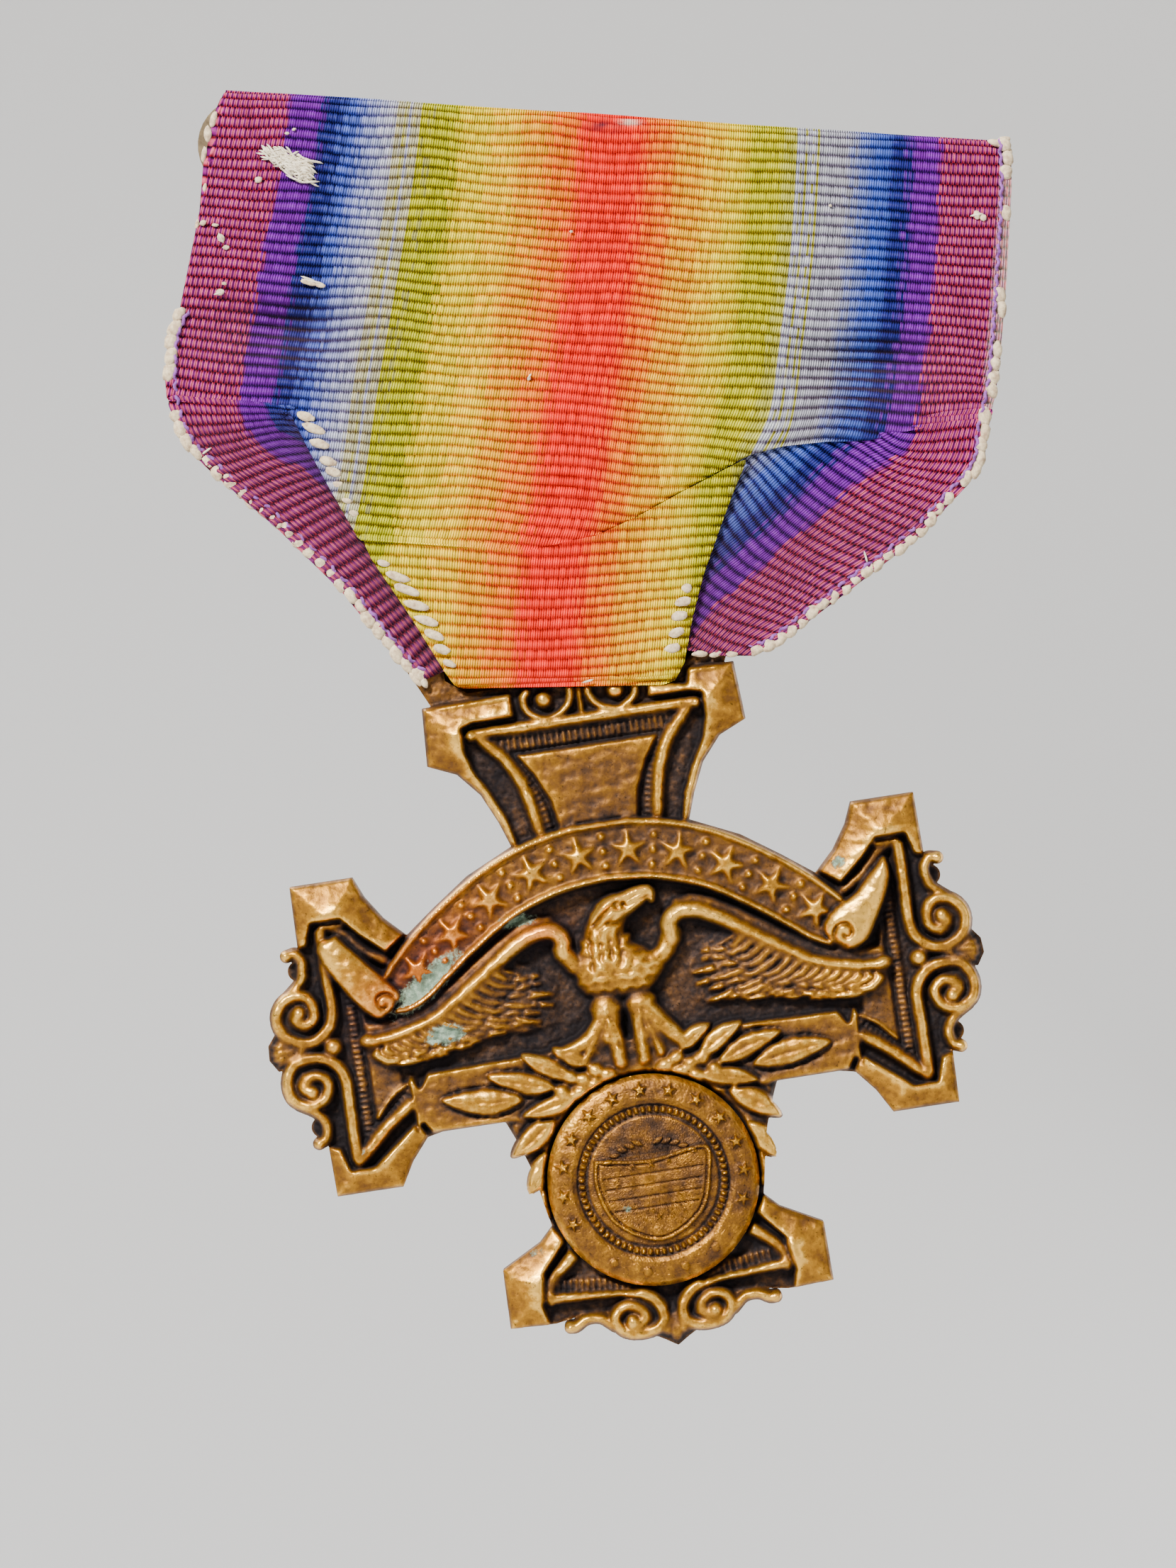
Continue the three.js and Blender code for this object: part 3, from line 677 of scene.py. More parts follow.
def frames_and_hatching(r):
    lift = 0.55
    # top arm
    hatch(r, [(-4.25, 11.53), (4.25, 11.53)], 0.36, 0.27, 0.34, 0.05)
    plateau(r, mirrored([(3.35, 11.1), (2.6, 9.95), (2.05, 8.7), (1.85, 7.4)]), 0.5, 0.16)
    for side in SIDES:
        hatch(r, [(3.75, 11.25), (2.98, 10.05), (2.45, 8.8), (2.2, 7.4)] * side, 0.24, 0.27, 0.34, 0.05)
        ridge(r, [(4.65, 12.0), (3.6, 10.75), (3.0, 9.4), (2.62, 7.4)] * side, 0.33, lift + 0.05)
    ridge(r, [(-5.0, 12.2), (5.0, 12.2)], 0.31, lift + 0.12)
    # top volutes, whose upper turns lie under the ribbon
    volute = [(0.38, 13.75), (0.46, 13.1), (0.9, 12.6), (1.65, 12.42), (2.35, 12.8), (2.5, 13.4), (2.3, 13.7)]
    for side in SIDES:
        ridge(r, volute * side, 0.2, 0.62)
        dome(r, side[0] * 1.6, 13.25, 0.42, 0.42, 0.6)
        dome(r, side[0] * 5.05, 12.15, 0.3, 0.3, 0.85)
    ridge(r, [(0, 12.3), (0, 13.8)], 0.14, 0.5)
    for side in SIDES:
        # side arms
        hatch(r, [(12.13, 3.3), (12.13, -4.9)] * side, 0.27, 0.25, 0.36, 0.02)
        panel = [(11.8, 2.4), (11.8, -4.2), (10.25, -2.75), (10.25, -1.9), (11.0, -1.4)]
        plateau(r, panel * side, 0.3, 0.14)
        ridge(r, [(11.65, -3.95), (10.9, -3.15), (10.2, -2.7)] * side, 0.13, 0.5)
        hatch(r, [(11.95, -4.75), (10.15, -3.1)] * side, 0.26, 0.25, 0.36, 0.02)
        ridge(r, [(12.75, -5.75), (11.2, -4.35), (9.8, -3.35)] * side, 0.34, lift + 0.1)
        ridge(r, [(12.6, 4.75), (11.9, 4.3), (11.2, 3.5), (10.3, 2.9)] * side, 0.3, lift)
        ridge(r, [(12.0, 4.75), (12.9, 4.75)] * side, 0.2, lift + 0.15)
        # bottom arm
        hatch(r, [(5.1, -12.5), (1.5, -12.9)] * side, 0.33, 0.25, 0.34, 0.02)
        ridge(r, [(5.3, -13.1), (5.15, -12.3), (3.9, -11.2)] * side, 0.33, lift + 0.05)


def volutes(r):
    def swell(f):
        return np.where(f > 0.93, 1.25, 1.0)

    for side in SIDES:
        for cx, cz, _, rad in VOLUTES:
            dome(r, side[0] * cx, cz, rad, rad, 0.34, power=0.3)
    for p in [p for coil in COILS for p in both(coil)]:
        ridge(r, p, 0.33, 0.72, taper=swell)
        line = curve_points(p)
        groove(r, line[: int(0.55 * len(line))], 0.07, 0.10)
        dome(r, *p[-1], 0.40, 0.40, 0.88)
    for p in [p for curl in CURLS for p in both(curl)]:
        ridge(r, p, 0.28, 0.55)
        dome(r, *p[-1], 0.33, 0.33, 0.62)
    for p in both(SIDE_LEAF):
        plateau(r, p, 0.62, 0.45)
        q, out = p.mean(0), np.sign(p[0, 0])
        for dz in (-0.55, -0.2, 0.2, 0.55):
            groove(r, [q - [out * 0.5, -dz * 0.2], q + [out * 0.75, dz]], 0.07, 0.2)
        dome(r, out * 13.15, -0.55, 0.46, 0.46, 0.8)
    plateau(r, FOOT_LEAF, 0.62, 0.5)
    for dx in (-0.3, 0, 0.3):
        groove(r, [(dx * 0.2, -14.6), (dx, -15.6)], 0.07, 0.2)


def feather_field(r, wing, side):
    """Long feathers that run from under the wing's bar to tips near the body."""
    s, m = r.area(wing)
    away = np.clip((np.abs(r.X[s]) - 3.2) / 4.0, 0, 1)
    r.lift(s, m > 0, (0.10 + 0.32 * away) * ease(m / 0.15))
    number = 15
    drop = -0.28 if side[0] > 0 else 0.0
    roots = [(11.2, -1.05), (10.0, -0.75), (8.7, -0.35), (7.4, 0.3), (6.2, 1.15), (5.4, 1.65)]
    tips = [
        (8.6, -1.72), (7.3, -1.5), (6.0, -1.12 + drop / 2), (4.7, -1.0 + drop), (3.7, -0.75 + drop),
        (3.05, -0.2 + drop), (3.1, 0.5), (3.6, 1.2),
    ]
    roots, tips = (along_line(line, np.linspace(0, 1, number)) for line in (roots, tips))
    for layer, (reach, w, gain) in enumerate(((0.95, 0.23, 0.95), (0.70, 0.20, 1.08), (0.42, 0.19, 1.2))):
        for k in reversed(range(number)):
            length = reach + 0.07 * math.sin(2.3 * k + 1.7 * layer)
            a, t = roots[k], roots[k] + (tips[k] - roots[k]) * length
            if layer:
                a, t = a + [0.1, -0.12], t + [0.0, -0.14]
            pts = curve_points(np.array([a, (a + t) / 2 + [0.0, -0.22], t]) * side, 6)
            s = r.window(pts, w + 0.1)
            q, f, _ = line_distance(r.X[s], r.Z[s], pts)
            width = w * np.clip(np.sin(np.pi * (0.25 + 0.72 * f)), 0.04, 1) ** 0.7
            level = (0.64 - 0.40 * (k / (number - 1)) ** 1.2 * (0.3 + 0.7 * f)) * gain
            r.set(s, q < width, level + 0.16 * round_top(q / width) - 0.07 * bell(q, 0.04))
            rim = (q >= width) & (q < width + 0.06) & (f > 0.1)
            r.set(s, rim, np.minimum(r.H[s], level - 0.20))


def wings(r):
    wing = np.array([
        (2.8, 0.7), (3.6, 1.5), (4.8, 2.2), (6.2, 1.4), (7.4, 0.6), (8.8, -0.2), (10.4, -0.65),
        (11.75, -0.55), (11.8, -0.95), (11.2, -1.3), (10.1, -1.5), (9.2, -1.75), (8.0, -1.55), (7.4, -1.65),
        (6.4, -1.35), (5.4, -1.15), (4.6, -1.3), (3.6, -1.2), (2.9, -0.9), (3.0, -0.2),
    ])
    bar = [(2.42, 2.0), (2.45, 2.7), (2.95, 3.1), (3.8, 3.0), (4.75, 2.52), (5.95, 1.68),
           (7.25, 0.8), (8.5, 0.05),
           (9.9, -0.38), (11.1, -0.55), (11.6, -0.5)]
    covert = [
        (2.9, 3.42), (3.9, 3.42), (5.1, 2.82), (6.3, 2.02), (7.6, 1.14), (8.9, 0.42), (10.2, 0.06),
        (11.4, -0.02),
    ]
    for side in SIDES:
        feather_field(r, wing * side, side)
        ridge(r, covert * side, 0.34, 0.5)
        ridge(r, bar * side, 0.42, 0.98, taper=lambda f: 1.12 - 0.3 * f)
        s, q, f, across = r.line(curve_points(bar * side), 0.6)
        for off in (-0.16, 0.14):
            r.H[s] -= np.where((f > 0.03) & (f < 0.97), 0.07 * bell(across - off, 0.05) * (q < 0.35), 0)
        dome(r, side[0] * 11.3, -0.6, 0.5, 0.42, 0.7)
        ridge(r, [(1.35, 1.1), (2.0, 1.45), (2.45, 2.2)] * side, 0.5, 0.85)


def breast(r):
    """The body, with rows of scales that overlap like roof tiles."""
    body = [
        (-2.15, 0.9), (-2.0, 1.5), (-1.75, 2.1), (-1.45, 2.6), (0.5, 2.6), (0.75, 2.1), (1.6, 1.6),
        (2.1, 1.15), (1.8, 0.5), (1.25, -0.08), (0.8, -0.3), (-0.5, -0.34), (-1.5, -0.15), (-1.95, 0.3),
    ]
    s = r.window(body, 0.1)
    m = inside_distance(r.X[s], r.Z[s], curve_points(body + body[:1], 4)[:-1])
    X, Z = r.X[s], r.Z[s]
    pz, px, radius = 0.42, 0.60, 0.42
    scales = np.zeros_like(m)
    for row in (np.floor((Z + 3) / pz) + up for up in (1, 0)):
        odd = 0.5 * (row % 2)
        xc, zc = (np.floor(X / px - odd) + 0.5 + odd) * px, (row + 0.95) * pz - 3
        q = np.hypot((X - xc) / 0.95, Z - zc)
        scales = np.where(q < radius, 0.04 + 0.20 * (q / radius) ** 2 - 0.30 * bell(q - radius, 0.07), scales)
    r.lift(s, m > 0, 1.15 * round_top(1 - np.clip(m / 1.3, 0, 1)) + scales)


def eagle(r):
    wings(r)
    breast(r)
    # neck and head to the right, beak raised
    ridge(r, [(-0.5, 2.0), (-0.5, 2.5), (-0.3, 3.15)], 1.0, 1.15, taper=lambda f: 1.1 - 0.25 * f)
    dome(r, -0.08, 3.45, 1.05, 0.80, 1.30, turn=35)
    lower, upper = [(0.25, 3.5), (1.0, 3.82), (1.62, 4.12)], [(0.35, 4.0), (1.1, 4.27), (1.65, 4.33)]
    ridge(r, lower, 0.46, 1.10, taper=lambda f: 1.1 - 0.45 * f)
    ridge(r, upper + [(1.85, 4.1), (1.78, 3.8)], 0.24, 1.12, taper=lambda f: 1.15 - 0.45 * f)
    groove(r, [(0.55, 3.62), (1.1, 3.82), (1.65, 3.98)], 0.07, 0.3)
    ridge(r, [(-0.9, 3.3), (-0.35, 3.85), (0.45, 4.25)], 0.17, 0.16, on_top=True)
    groove(r, [(-0.95, 3.0), (-0.4, 3.5), (0.25, 3.92)], 0.10, 0.34)
    groove(r, [(-0.85, 2.75), (-0.25, 3.1), (0.15, 3.35)], 0.07, 0.2)
    groove(r, [(-0.3, 3.0), (0.25, 3.05), (0.65, 3.2)], 0.08, 0.28)
    for k in range(13):
        g0 = np.array([-1.15 + 0.45 * (k % 4), 2.75 - 0.42 * (k // 4) - 0.1 * (k % 2)])
        groove(r, [g0, g0 + [-0.12, -0.3], g0 + [-0.05, -0.5]], 0.07, 0.17)
    groove(r, [(0.20, 3.66), (0.52, 3.78)], 0.13, 0.42)
    dome(r, 0.36, 3.72, 0.10, 0.09, 0.22, base=0.95)
    # legs and toes
    for pts, w, h in (
        ([(-0.9, -0.7), (-0.95, -1.3), (-0.95, -1.9)], 0.72, 1.0),
        ([(-0.95, -0.8), (-0.85, -1.5), (-0.7, -2.2), (-0.62, -3.1)], 0.52, 1.02),
        ([(-1.0, -1.0), (-1.65, -1.8), (-2.4, -2.2), (-3.2, -2.4)], 0.46, 0.95),
        ([(-1.1, -1.3), (-1.75, -2.2), (-2.2, -2.85)], 0.38, 0.88),
        ([(0.62, -0.7), (0.75, -1.3), (0.95, -1.8)], 0.70, 0.98),
        ([(0.55, -0.8), (0.5, -1.7), (0.42, -3.1)], 0.48, 1.0),
        ([(0.75, -0.9), (1.4, -1.7), (2.15, -2.5)], 0.55, 1.0),
        ([(0.75, -1.4), (1.0, -2.1), (1.2, -2.9)], 0.42, 0.94),
    ):
        ridge(r, pts, w, h, taper=lambda f: 1.15 - 0.35 * f)
        groove(r, np.asarray(pts) + [0.12, 0.0], 0.06, 0.16)
        groove(r, np.asarray(pts) + [-0.14, 0.05], 0.05, 0.12)


def banner(r):
    top, low = curve_points(BANNER_TOP), curve_points(BANNER_LOW)
    floor, rise = 0.60, 0.34
    s, m = r.area(mirrored(np.vstack([top, low])))
    r.set(s, m > 0, (floor + rise * np.exp(-(((m - 0.17) / 0.14) ** 4))) * ease(m / 0.07))
    # plain stars and beads along the middle
    middle = np.array([
        (along_line(top, abs(f) * 0.93) + along_line(low[::-1], abs(f) * 0.90)) / 2 * [1 if f >= 0 else -1, 1]
        for f in np.linspace(-1, 1, 81)
    ])
    stars = 10
    for k in range(stars):
        c, _, tilt = frame_at(middle, (k + 0.5) / stars)
        s, m = r.area(star_points(*c, 0.98, 0.43, tilt))
        r.lift(s, m > 0, floor + rise * np.clip(m / 0.20, 0, 1) ** 0.8)
    for k in range(1, stars):
        c, up, _ = frame_at(middle, k / stars)
        for j in (-0.66, 0.0, 0.66):
            dome(r, *(c + up * j), 0.17, 0.17, 0.26, base=floor)


def rolled_ends(r):
    rolls = {
        1: [(12.3, 4.25), (12.45, 3.4), (12.15, 2.5), (11.6, 1.45), (11.0, 0.55), (10.1, 0.25), (9.35, 0.75),
            (9.1, 1.5), (9.7, 2.2), (10.7, 2.75), (11.5, 3.5)],
        -1: [(-12.25, 4.35), (-13.1, 4.1), (-13.1, 3.3), (-12.5, 2.1), (-11.65, 0.9),
             (-10.9, 0.35), (-10.1, 0.8),
             (-9.85, 1.45), (-10.9, 2.75), (-11.7, 3.7)],
    }
    for sx, roll in rolls.items():
        s, m = r.area(curve_points(roll + roll[:1], 6)[:-1])
        r.set(s, m > 0, (0.70 + 0.55 * round_top(1 - np.clip(m / 0.75, 0, 1))) * ease(m / 0.05))
        cx, start = (10.05, 200) if sx > 0 else (-10.6, -20)
        t = np.linspace(0, 1, 26)
        a, rad = np.radians(start + sx * 430 * t), 0.12 + 0.5 * t
        groove(r, np.stack([cx + rad * np.cos(a), 1.05 + rad * np.sin(a)], -1), 0.085, 0.34)


def leaf(r, base, tip, w):
    """A laurel leaf with a midrib, in a shallow trough."""
    ahead = tip - base
    across = np.array([-ahead[1], ahead[0]]) / np.hypot(*ahead)
    s, d, f, _ = r.line(curve_points([base, (base + tip) / 2 + across * 0.1, tip]), w + 0.1)
    width = w * np.clip(np.sin(np.pi * np.clip(f, 0, 1) ** 0.85), 0, 1) ** 0.75
    k = np.clip(1 - (d / np.maximum(width, 1e-5)) ** 2, 0, 1)
    h = 0.64 + 0.28 * k**0.6 - 0.12 * bell(d, 0.045)
    r.set(s, d < width, np.maximum(h * ease((width - d) / 0.06), 0.1))
    rim = (d >= width) & (d < width + 0.07) & (f > 0.02) & (f < 0.98)
    r.set(s, rim, r.H[s] - 0.16)


LEAVES = (
    ((4.7, -7.9), (4.9, -9.6), 0.5), ((4.5, -6.6), (5.6, -8.4), 0.56), ((3.9, -5.0), (6.1, -6.6), 0.60),
    ((2.7, -4.25), (5.4, -4.85), 0.50), ((2.0, -3.0), (3.6, -2.0), 0.45), ((2.8, -3.45), (5.0, -2.1), 0.52),
    ((3.6, -3.8), (6.7, -2.8), 0.56), ((5.1, -4.1), (8.85, -3.6), 0.64),
)
BERRIES = ((1.25, -3.6), (1.8, -3.3), (2.4, -3.65), (1.9, -3.95), (2.95, -3.45), (3.4, -4.05), (2.6, -4.2))


def panel_and_laurel(r):
    s, m = r.area(mirrored([
        (0, -2.1), (9.2, -2.3), (9.62, -2.9), (9.95, -2.2), (10.1, -2.6), (10.0, -4.9), (9.7, -4.5),
        (9.35, -5.0), (0, -5.2),
    ]))
    r.set(s, m > 0, (0.55 + 0.06 * bell(m - 0.1, 0.1)) * ease(m / 0.06))
    plateau(r, mirrored([(4.2, -4.2), (6.0, -5.1), (5.6, -7.2), (5.1, -8.8), (4.7, -9.8)]), 0.45, 0.25)
    for side in SIDES:
        for base, tip, w in LEAVES:
            leaf(r, base * side, tip * side, w)
        for x, z in BERRIES * side:
            dome(r, x, z, 0.44, 0.36, 0.48, turn=25 * side[0], base=0.5)


def cross_relief(pitch):
    r = Relief(-16.5, 16.5, -16.3, 16.6, pitch)
    edge = cross_outline(r)
    shoulders(r, edge)
    volutes(r)
    frames_and_hatching(r)
    panel_and_laurel(r)
    eagle(r)
    banner(r)
    rolled_ends(r)
    r.H = np.maximum(r.H, -0.05)
    # flat where the ribbon and the disc lie on it
    z = r.Z * math.cos(TURN) + r.X * math.sin(TURN) + CROSS_Z - TOP
    x = CROSS_X + r.X * math.cos(TURN) - r.Z * math.sin(TURN)
    under = (z > np.interp(x, FOLD_X, FOLD_Z) - 0.12) & (x > -5.6) & (x < 5.1) & (r.Z > 12)
    r.H = np.where(under, np.minimum(r.H, 0.02), r.H)
    seat = np.hypot(r.X, r.Z - SEAL_Z) < SEAL_R + 0.12
    r.H = np.where(seat, np.minimum(r.H, 0.0), r.H)
    # softened, then uneven and grainy
    grain = RNG.standard_normal(r.H.shape)
    ground = r.H < 0.2
    r.H = blur(r.H, 0.07 / pitch)
    r.H += 0.022 * slow_noise(r.X, r.Z, 0.8, 41) + 0.016 * slow_noise(r.X, r.Z, 0.45, 42) * (r.H > 0.2)
    r.H += np.where(ground, 0.048, 0.016) * blur(grain, 0.06 / pitch) * (0.06 / pitch)
    r.H += 0.02 * blur(RNG.standard_normal(r.H.shape), 0.5 / pitch) * (0.5 / pitch)
    return r, edge


def cross_wear(r, edge, pitch):
    """How worn, verdigrised and reddened the bronze is."""
    # worn where the relief stands above what is round it
    near, wide = r.H - blur(r.H, 0.22 / pitch), r.H - blur(r.H, 0.9 / pitch)
    wear = 0.30 + 0.30 * r.H + 1.9 * near + 0.50 * wide + 0.05 * slow_noise(r.X, r.Z, 2.2, 52)
    low = 0.19 + 0.09 * slow_noise(r.X, r.Z, 3.0, 51) + 1.2 * np.clip(near, -0.15, 0.15)
    low += 0.26 * ease((r.Z - 12.2) / 0.5) * ease((np.abs(r.X) - 4.0) / 0.4)
    wear = low + (wear - low) * ease((r.H - 0.04) / 0.22)
    wear = np.clip(np.maximum(wear, 0.42 * bell(edge, 0.12)), 0, 1)
    green = sum(strength * spot(r.X, r.Z, *patch) for strength, *patch in (
        (1.05, -8.6, 1.6, 1.9, 0.85, 0.62), (1.15, -8.1, -0.75, 1.0, 0.5), (0.9, -4.3, 3.75, 1.0, 0.4),
        (0.8, 10.2, 4.2, 0.45, 0.4), (0.55, -5.6, -10.8, 0.8, 0.4), (0.5, -12.5, -5.4, 0.3, 0.3),
    ))
    green *= np.where(near > 0.06, 0.35, 1.0)
    rose = spot(r.X, r.Z, -8.6, 2.6, 3.2, 1.6, 0.55) + 0.8 * spot(r.X, r.Z, -3.3, 3.1, 1.2, 0.6)
    return wear, green, rose


def build_cross(material):
    pitch = 0.055
    r, edge = cross_relief(pitch)
    wear, green, rose = cross_wear(r, edge, pitch)
    quads, rim, used, on_rim = cells_inside(edge)
    # the rim's points move onto the outline, and the face rounds off towards it
    gx, gz = inward(edge, pitch, pitch)
    X, Z, E = r.X.ravel().copy(), r.Z.ravel().copy(), edge.ravel()
    step = np.clip(E, -1.2 * pitch, 1.2 * pitch)
    X[on_rim] -= (step * gx)[on_rim]
    Z[on_rim] -= (step * gz)[on_rim]
    H = r.H.ravel() - 0.10 * bell(np.clip(E, 0, None), 0.10)
    front = np.stack([X[used], GROUND - H[used], Z[used]], -1)
    # walls to the back, whose edge is chamfered
    n, ring = len(front), np.unique(rim)
    place = -np.ones(n, int)
    place[ring] = np.arange(len(ring))
    parts, faces, above = [front], [quads], rim
    for k, (y, inset) in enumerate(((-0.25, 0.0), (0.48, 0.0), (BACK, 0.10))):
        pts = front[ring].copy()
        pts[:, 0] += inset * gx[used][ring]
        pts[:, 1] = y
        pts[:, 2] += inset * gz[used][ring]
        below = place[rim] + n + k * len(ring)
        faces.append(np.stack([above[:, 1], above[:, 0], below[:, 0], below[:, 1]], -1))
        parts.append(pts)
        above = below
    attrs = {
        key: np.concatenate([values.ravel()[used], np.full(3 * len(ring), on_walls)])
        for key, values, on_walls in (("wear", wear, 0.40), ("green", green, 0.0), ("rose", rose, 0.0))
    }
    ob = make_mesh("cross_planchet", np.vstack(parts), faces, material, attrs)
    # close the back
    bm = bmesh.new()
    bm.from_mesh(ob.data)
    open_edges = [e for e in bm.edges if e.is_boundary]
    bmesh.ops.triangle_fill(bm, edges=open_edges, use_beauty=True, normal=(0, 1, 0))
    add_bar(bm)
    behind = [f for f in bm.faces if len(f.verts) == 3 or f.calc_center_median().y > 0.2 * MM]
    bmesh.ops.recalc_face_normals(bm, faces=behind)
    for f in bm.faces:
        f.smooth = True
    bm.to_mesh(ob.data)
    bm.free()
    ob.data.transform(CROSS_PLACE)
    ob.data.update()
    sharp_by_angle(ob, 42)
    return ob


def add_bar(bm):
    """The tab's rounded top bar, inside the ribbon's fold."""
    wear = bm.verts.layers.float["wear"]
    sides, steps, length, round_end = 28, 24, 14.9, 0.35
    rings = []
    for i in range(steps + 1):
        t = i / steps
        x, end = -length / 2 + length * t, min(t, 1 - t) * length
        rad = (BAR_R + 0.01) * math.sqrt(max(1 - max(0, 1 - end / round_end) ** 2, 0.02))
        ring = []
        for k in range(sides):
            a = 2 * math.pi * k / sides
            y, z = rad * math.sin(a), BAR_Z + rad * math.cos(a)
            ring.append(bm.verts.new((x * MM, y * MM, z * MM)))
            ring[-1][wear] = 0.5
        rings.append(ring)
    for a, b in zip(rings[:-1], rings[1:]):
        for k in range(sides):
            bm.faces.new((a[k], a[(k + 1) % sides], b[(k + 1) % sides], b[k]))
    bm.faces.new(rings[0][::-1])
    bm.faces.new(rings[-1])


def seal_relief(R, A):
    """Heights over the disc: a sloped rim with stars, a ring of beads and a plain shield."""
    X, Z = R * np.cos(A), R * np.sin(A)
    H = np.interp(
        R,
        [0, 2.55, 2.82, 2.92, 3.02, 3.32, 3.42, 3.62, 3.85, 4.25, 4.5, 4.62, 4.7],
        [0.93, 0.90, 0.86, 0.78, 0.76, 0.78, 0.90, 1.02, 1.0, 0.92, 0.80, 0.66, 0.52],
    )
    beads, bead_ring, ring_mid = 66, 3.17, 4.05
    bead = np.cos(np.pi * ((A * beads / (2 * np.pi)) % 1 - 0.5)) ** 2
    H += 0.22 * bead * round_top((R - bead_ring) / 0.15)
    # stars round the upper rim, beads round the lower
    for a in np.radians(np.linspace(-20, 200, 13)):
        star = star_points(ring_mid * math.cos(a), ring_mid * math.sin(a), 0.42, 0.18, math.degrees(a) - 90)
        H += 0.20 * np.clip(inside_distance(X, Z, star) / 0.08, 0, 1)
    for a in np.radians([236, 258, 282, 304]):
        H += 0.13 * round_top(np.hypot(X - ring_mid * math.cos(a), Z - ring_mid * math.sin(a)) / 0.2)
    # a plain shield with bars, under a small pair of sprays
    shield = [
        (-2.5, 1.3), (0, 1.0), (2.5, 1.3), (2.62, 0.0), (1.95, -1.75), (0, -2.75), (-1.95, -1.75),
        (-2.62, 0.0), (-2.5, 1.3),
    ]
    m = inside_distance(X, Z, curve_points(shield, 5)[:-1])
    H += 0.16 * ease(m / 0.10) - 0.10 * bell(m - 0.24, 0.05) * (m > 0)
    for z in (0.35, -0.15, -0.65, -1.15):
        H -= 0.07 * bell(Z - z, 0.05) * (m > 0.4)
    for cx, cz, rad in ((0, 0.75, 0.26), (-0.8, 0.8, 0.2), (0.8, 0.8, 0.2), (0, -1.6, 0.22)):
        H += 0.10 * np.clip(inside_distance(X, Z, star_points(cx, cz, rad, rad * 0.42)) / 0.06, 0, 1)
    for side in SIDES:
        for k in range(5):
            a = np.array([0.25 + 0.36 * k, 1.62 - 0.03 * k * k])
            q, f, _ = line_distance(X, Z, np.array([a, a + [0.42, 0.22 - 0.08 * k]]) * side)
            H += 0.12 * round_top(q / (0.13 * np.sin(np.pi * np.clip(f, 0.03, 0.97)) ** 0.6))
    H += 0.012 * RNG.standard_normal(H.shape) * np.clip(R / 1.5, 0, 1)
    return H + 0.032 * slow_noise(X, Z, 0.9, 61) + 0.014 * slow_noise(X, Z, 0.45, 62)


def build_seal(material):
    nr, na = ((120, 560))
    radii = np.concatenate([np.linspace(0, SEAL_R - 0.12, nr), [SEAL_R - 0.06, SEAL_R - 0.02, SEAL_R]])
    R, A = np.meshgrid(radii, np.linspace(0, 2 * np.pi, na, endpoint=False), indexing="ij")
    # the last ring is the wall's foot
    foot = 0.02
    H = np.vstack([seal_relief(R, A), np.full((1, na), foot)])
    R, A = np.vstack([R, R[-1:]]), np.vstack([A, A[-1:]])
    X, Z = R * np.cos(A), R * np.sin(A)
    margin = 8
    near = H - blur(np.pad(H, margin, mode="edge"), 4)[margin:-margin, margin:-margin]
    wear = np.clip(0.56 + 2.2 * near + 0.08 * slow_noise(X, Z, 1.6, 63), 0.05, 1)
    wear *= 1 - 0.6 * np.clip(bell(R - 2.94, 0.06) + bell(R - 3.36, 0.05), 0, 1)
    wear = np.where((R < 2.8) & (Z > 1.2), wear - 0.18, wear)
    wear[-1] = 0.15
    verts = np.stack([X, GROUND - H, Z + SEAL_Z], -1).reshape(-1, 3)
    verts = np.vstack([verts, [(0, GROUND - foot, SEAL_Z)]])
    centre, last = H.size, H.size - na + np.arange(na)
    cap = np.stack([last, np.full(na, centre), np.roll(last, -1)], -1)
    attrs = {
        "wear": np.append(wear.ravel(), 0.2), "rose": np.zeros(len(verts)),
        "green": 0.7 * spot(verts[:, 0], verts[:, 2], -1.3, SEAL_Z - 1.1, 0.35, 0.3),
    }
    ob = make_mesh("seal_medallion", verts, [ring_faces(len(R), na), cap], material, attrs)
    clean_mesh(ob, weld=1e-7)
    ob.data.transform(CROSS_PLACE)
    ob.data.polygons.foreach_set("use_smooth", np.ones(len(ob.data.polygons), bool))
    sharp_by_angle(ob, 50)
    return ob


# ------------------------------------------------------------------ the ribbon
FRONT_Y, BACK_Y = -2.80, -0.70  # outer faces of the front and back plies
FOLD_R = (BACK_Y - FRONT_Y) / 2
FOLD_SHIFT = (math.pi / 2 - 1) * FOLD_R
THICK = 0.22
PANEL_Y, WING_Y = -3.10, -2.62
RIB_DEPTH = 0.115
MEAN_RIB = 0.6  # the ribs' mean height, in parts of their depth


def spline_field(ctrl):
    """Thin-plate spline through (x, z, a, b, ...) control rows; gives a function of (X, Z)."""
    c = np.asarray(ctrl, float)
    p, v = c[:, :2], c[:, 2:]
    n = len(p)

    def phi(q2):
        return 0.5 * q2 * np.log(q2 + 1e-9)

    A = np.zeros((n + 3, n + 3))
    A[:n, :n] = phi(((p[:, None] - p[None]) ** 2).sum(-1)) + 1e-3 * np.eye(n)
    A[:n, n] = 1
    A[:n, n + 1 :] = p
    A[n:, :n] = A[:n, n:].T
    w = np.linalg.solve(A, np.vstack([v, np.zeros((3, v.shape[1]))]))

    def field(X, Z):
        out = []
        for k in range(v.shape[1]):
            f = w[n, k] + w[n + 1, k] * X + w[n + 2, k] * Z
            for i in range(n):
                f = f + w[i, k] * phi((X - p[i, 0]) ** 2 + (Z - p[i, 1]) ** 2)
            out.append(f)
        return out

    return field



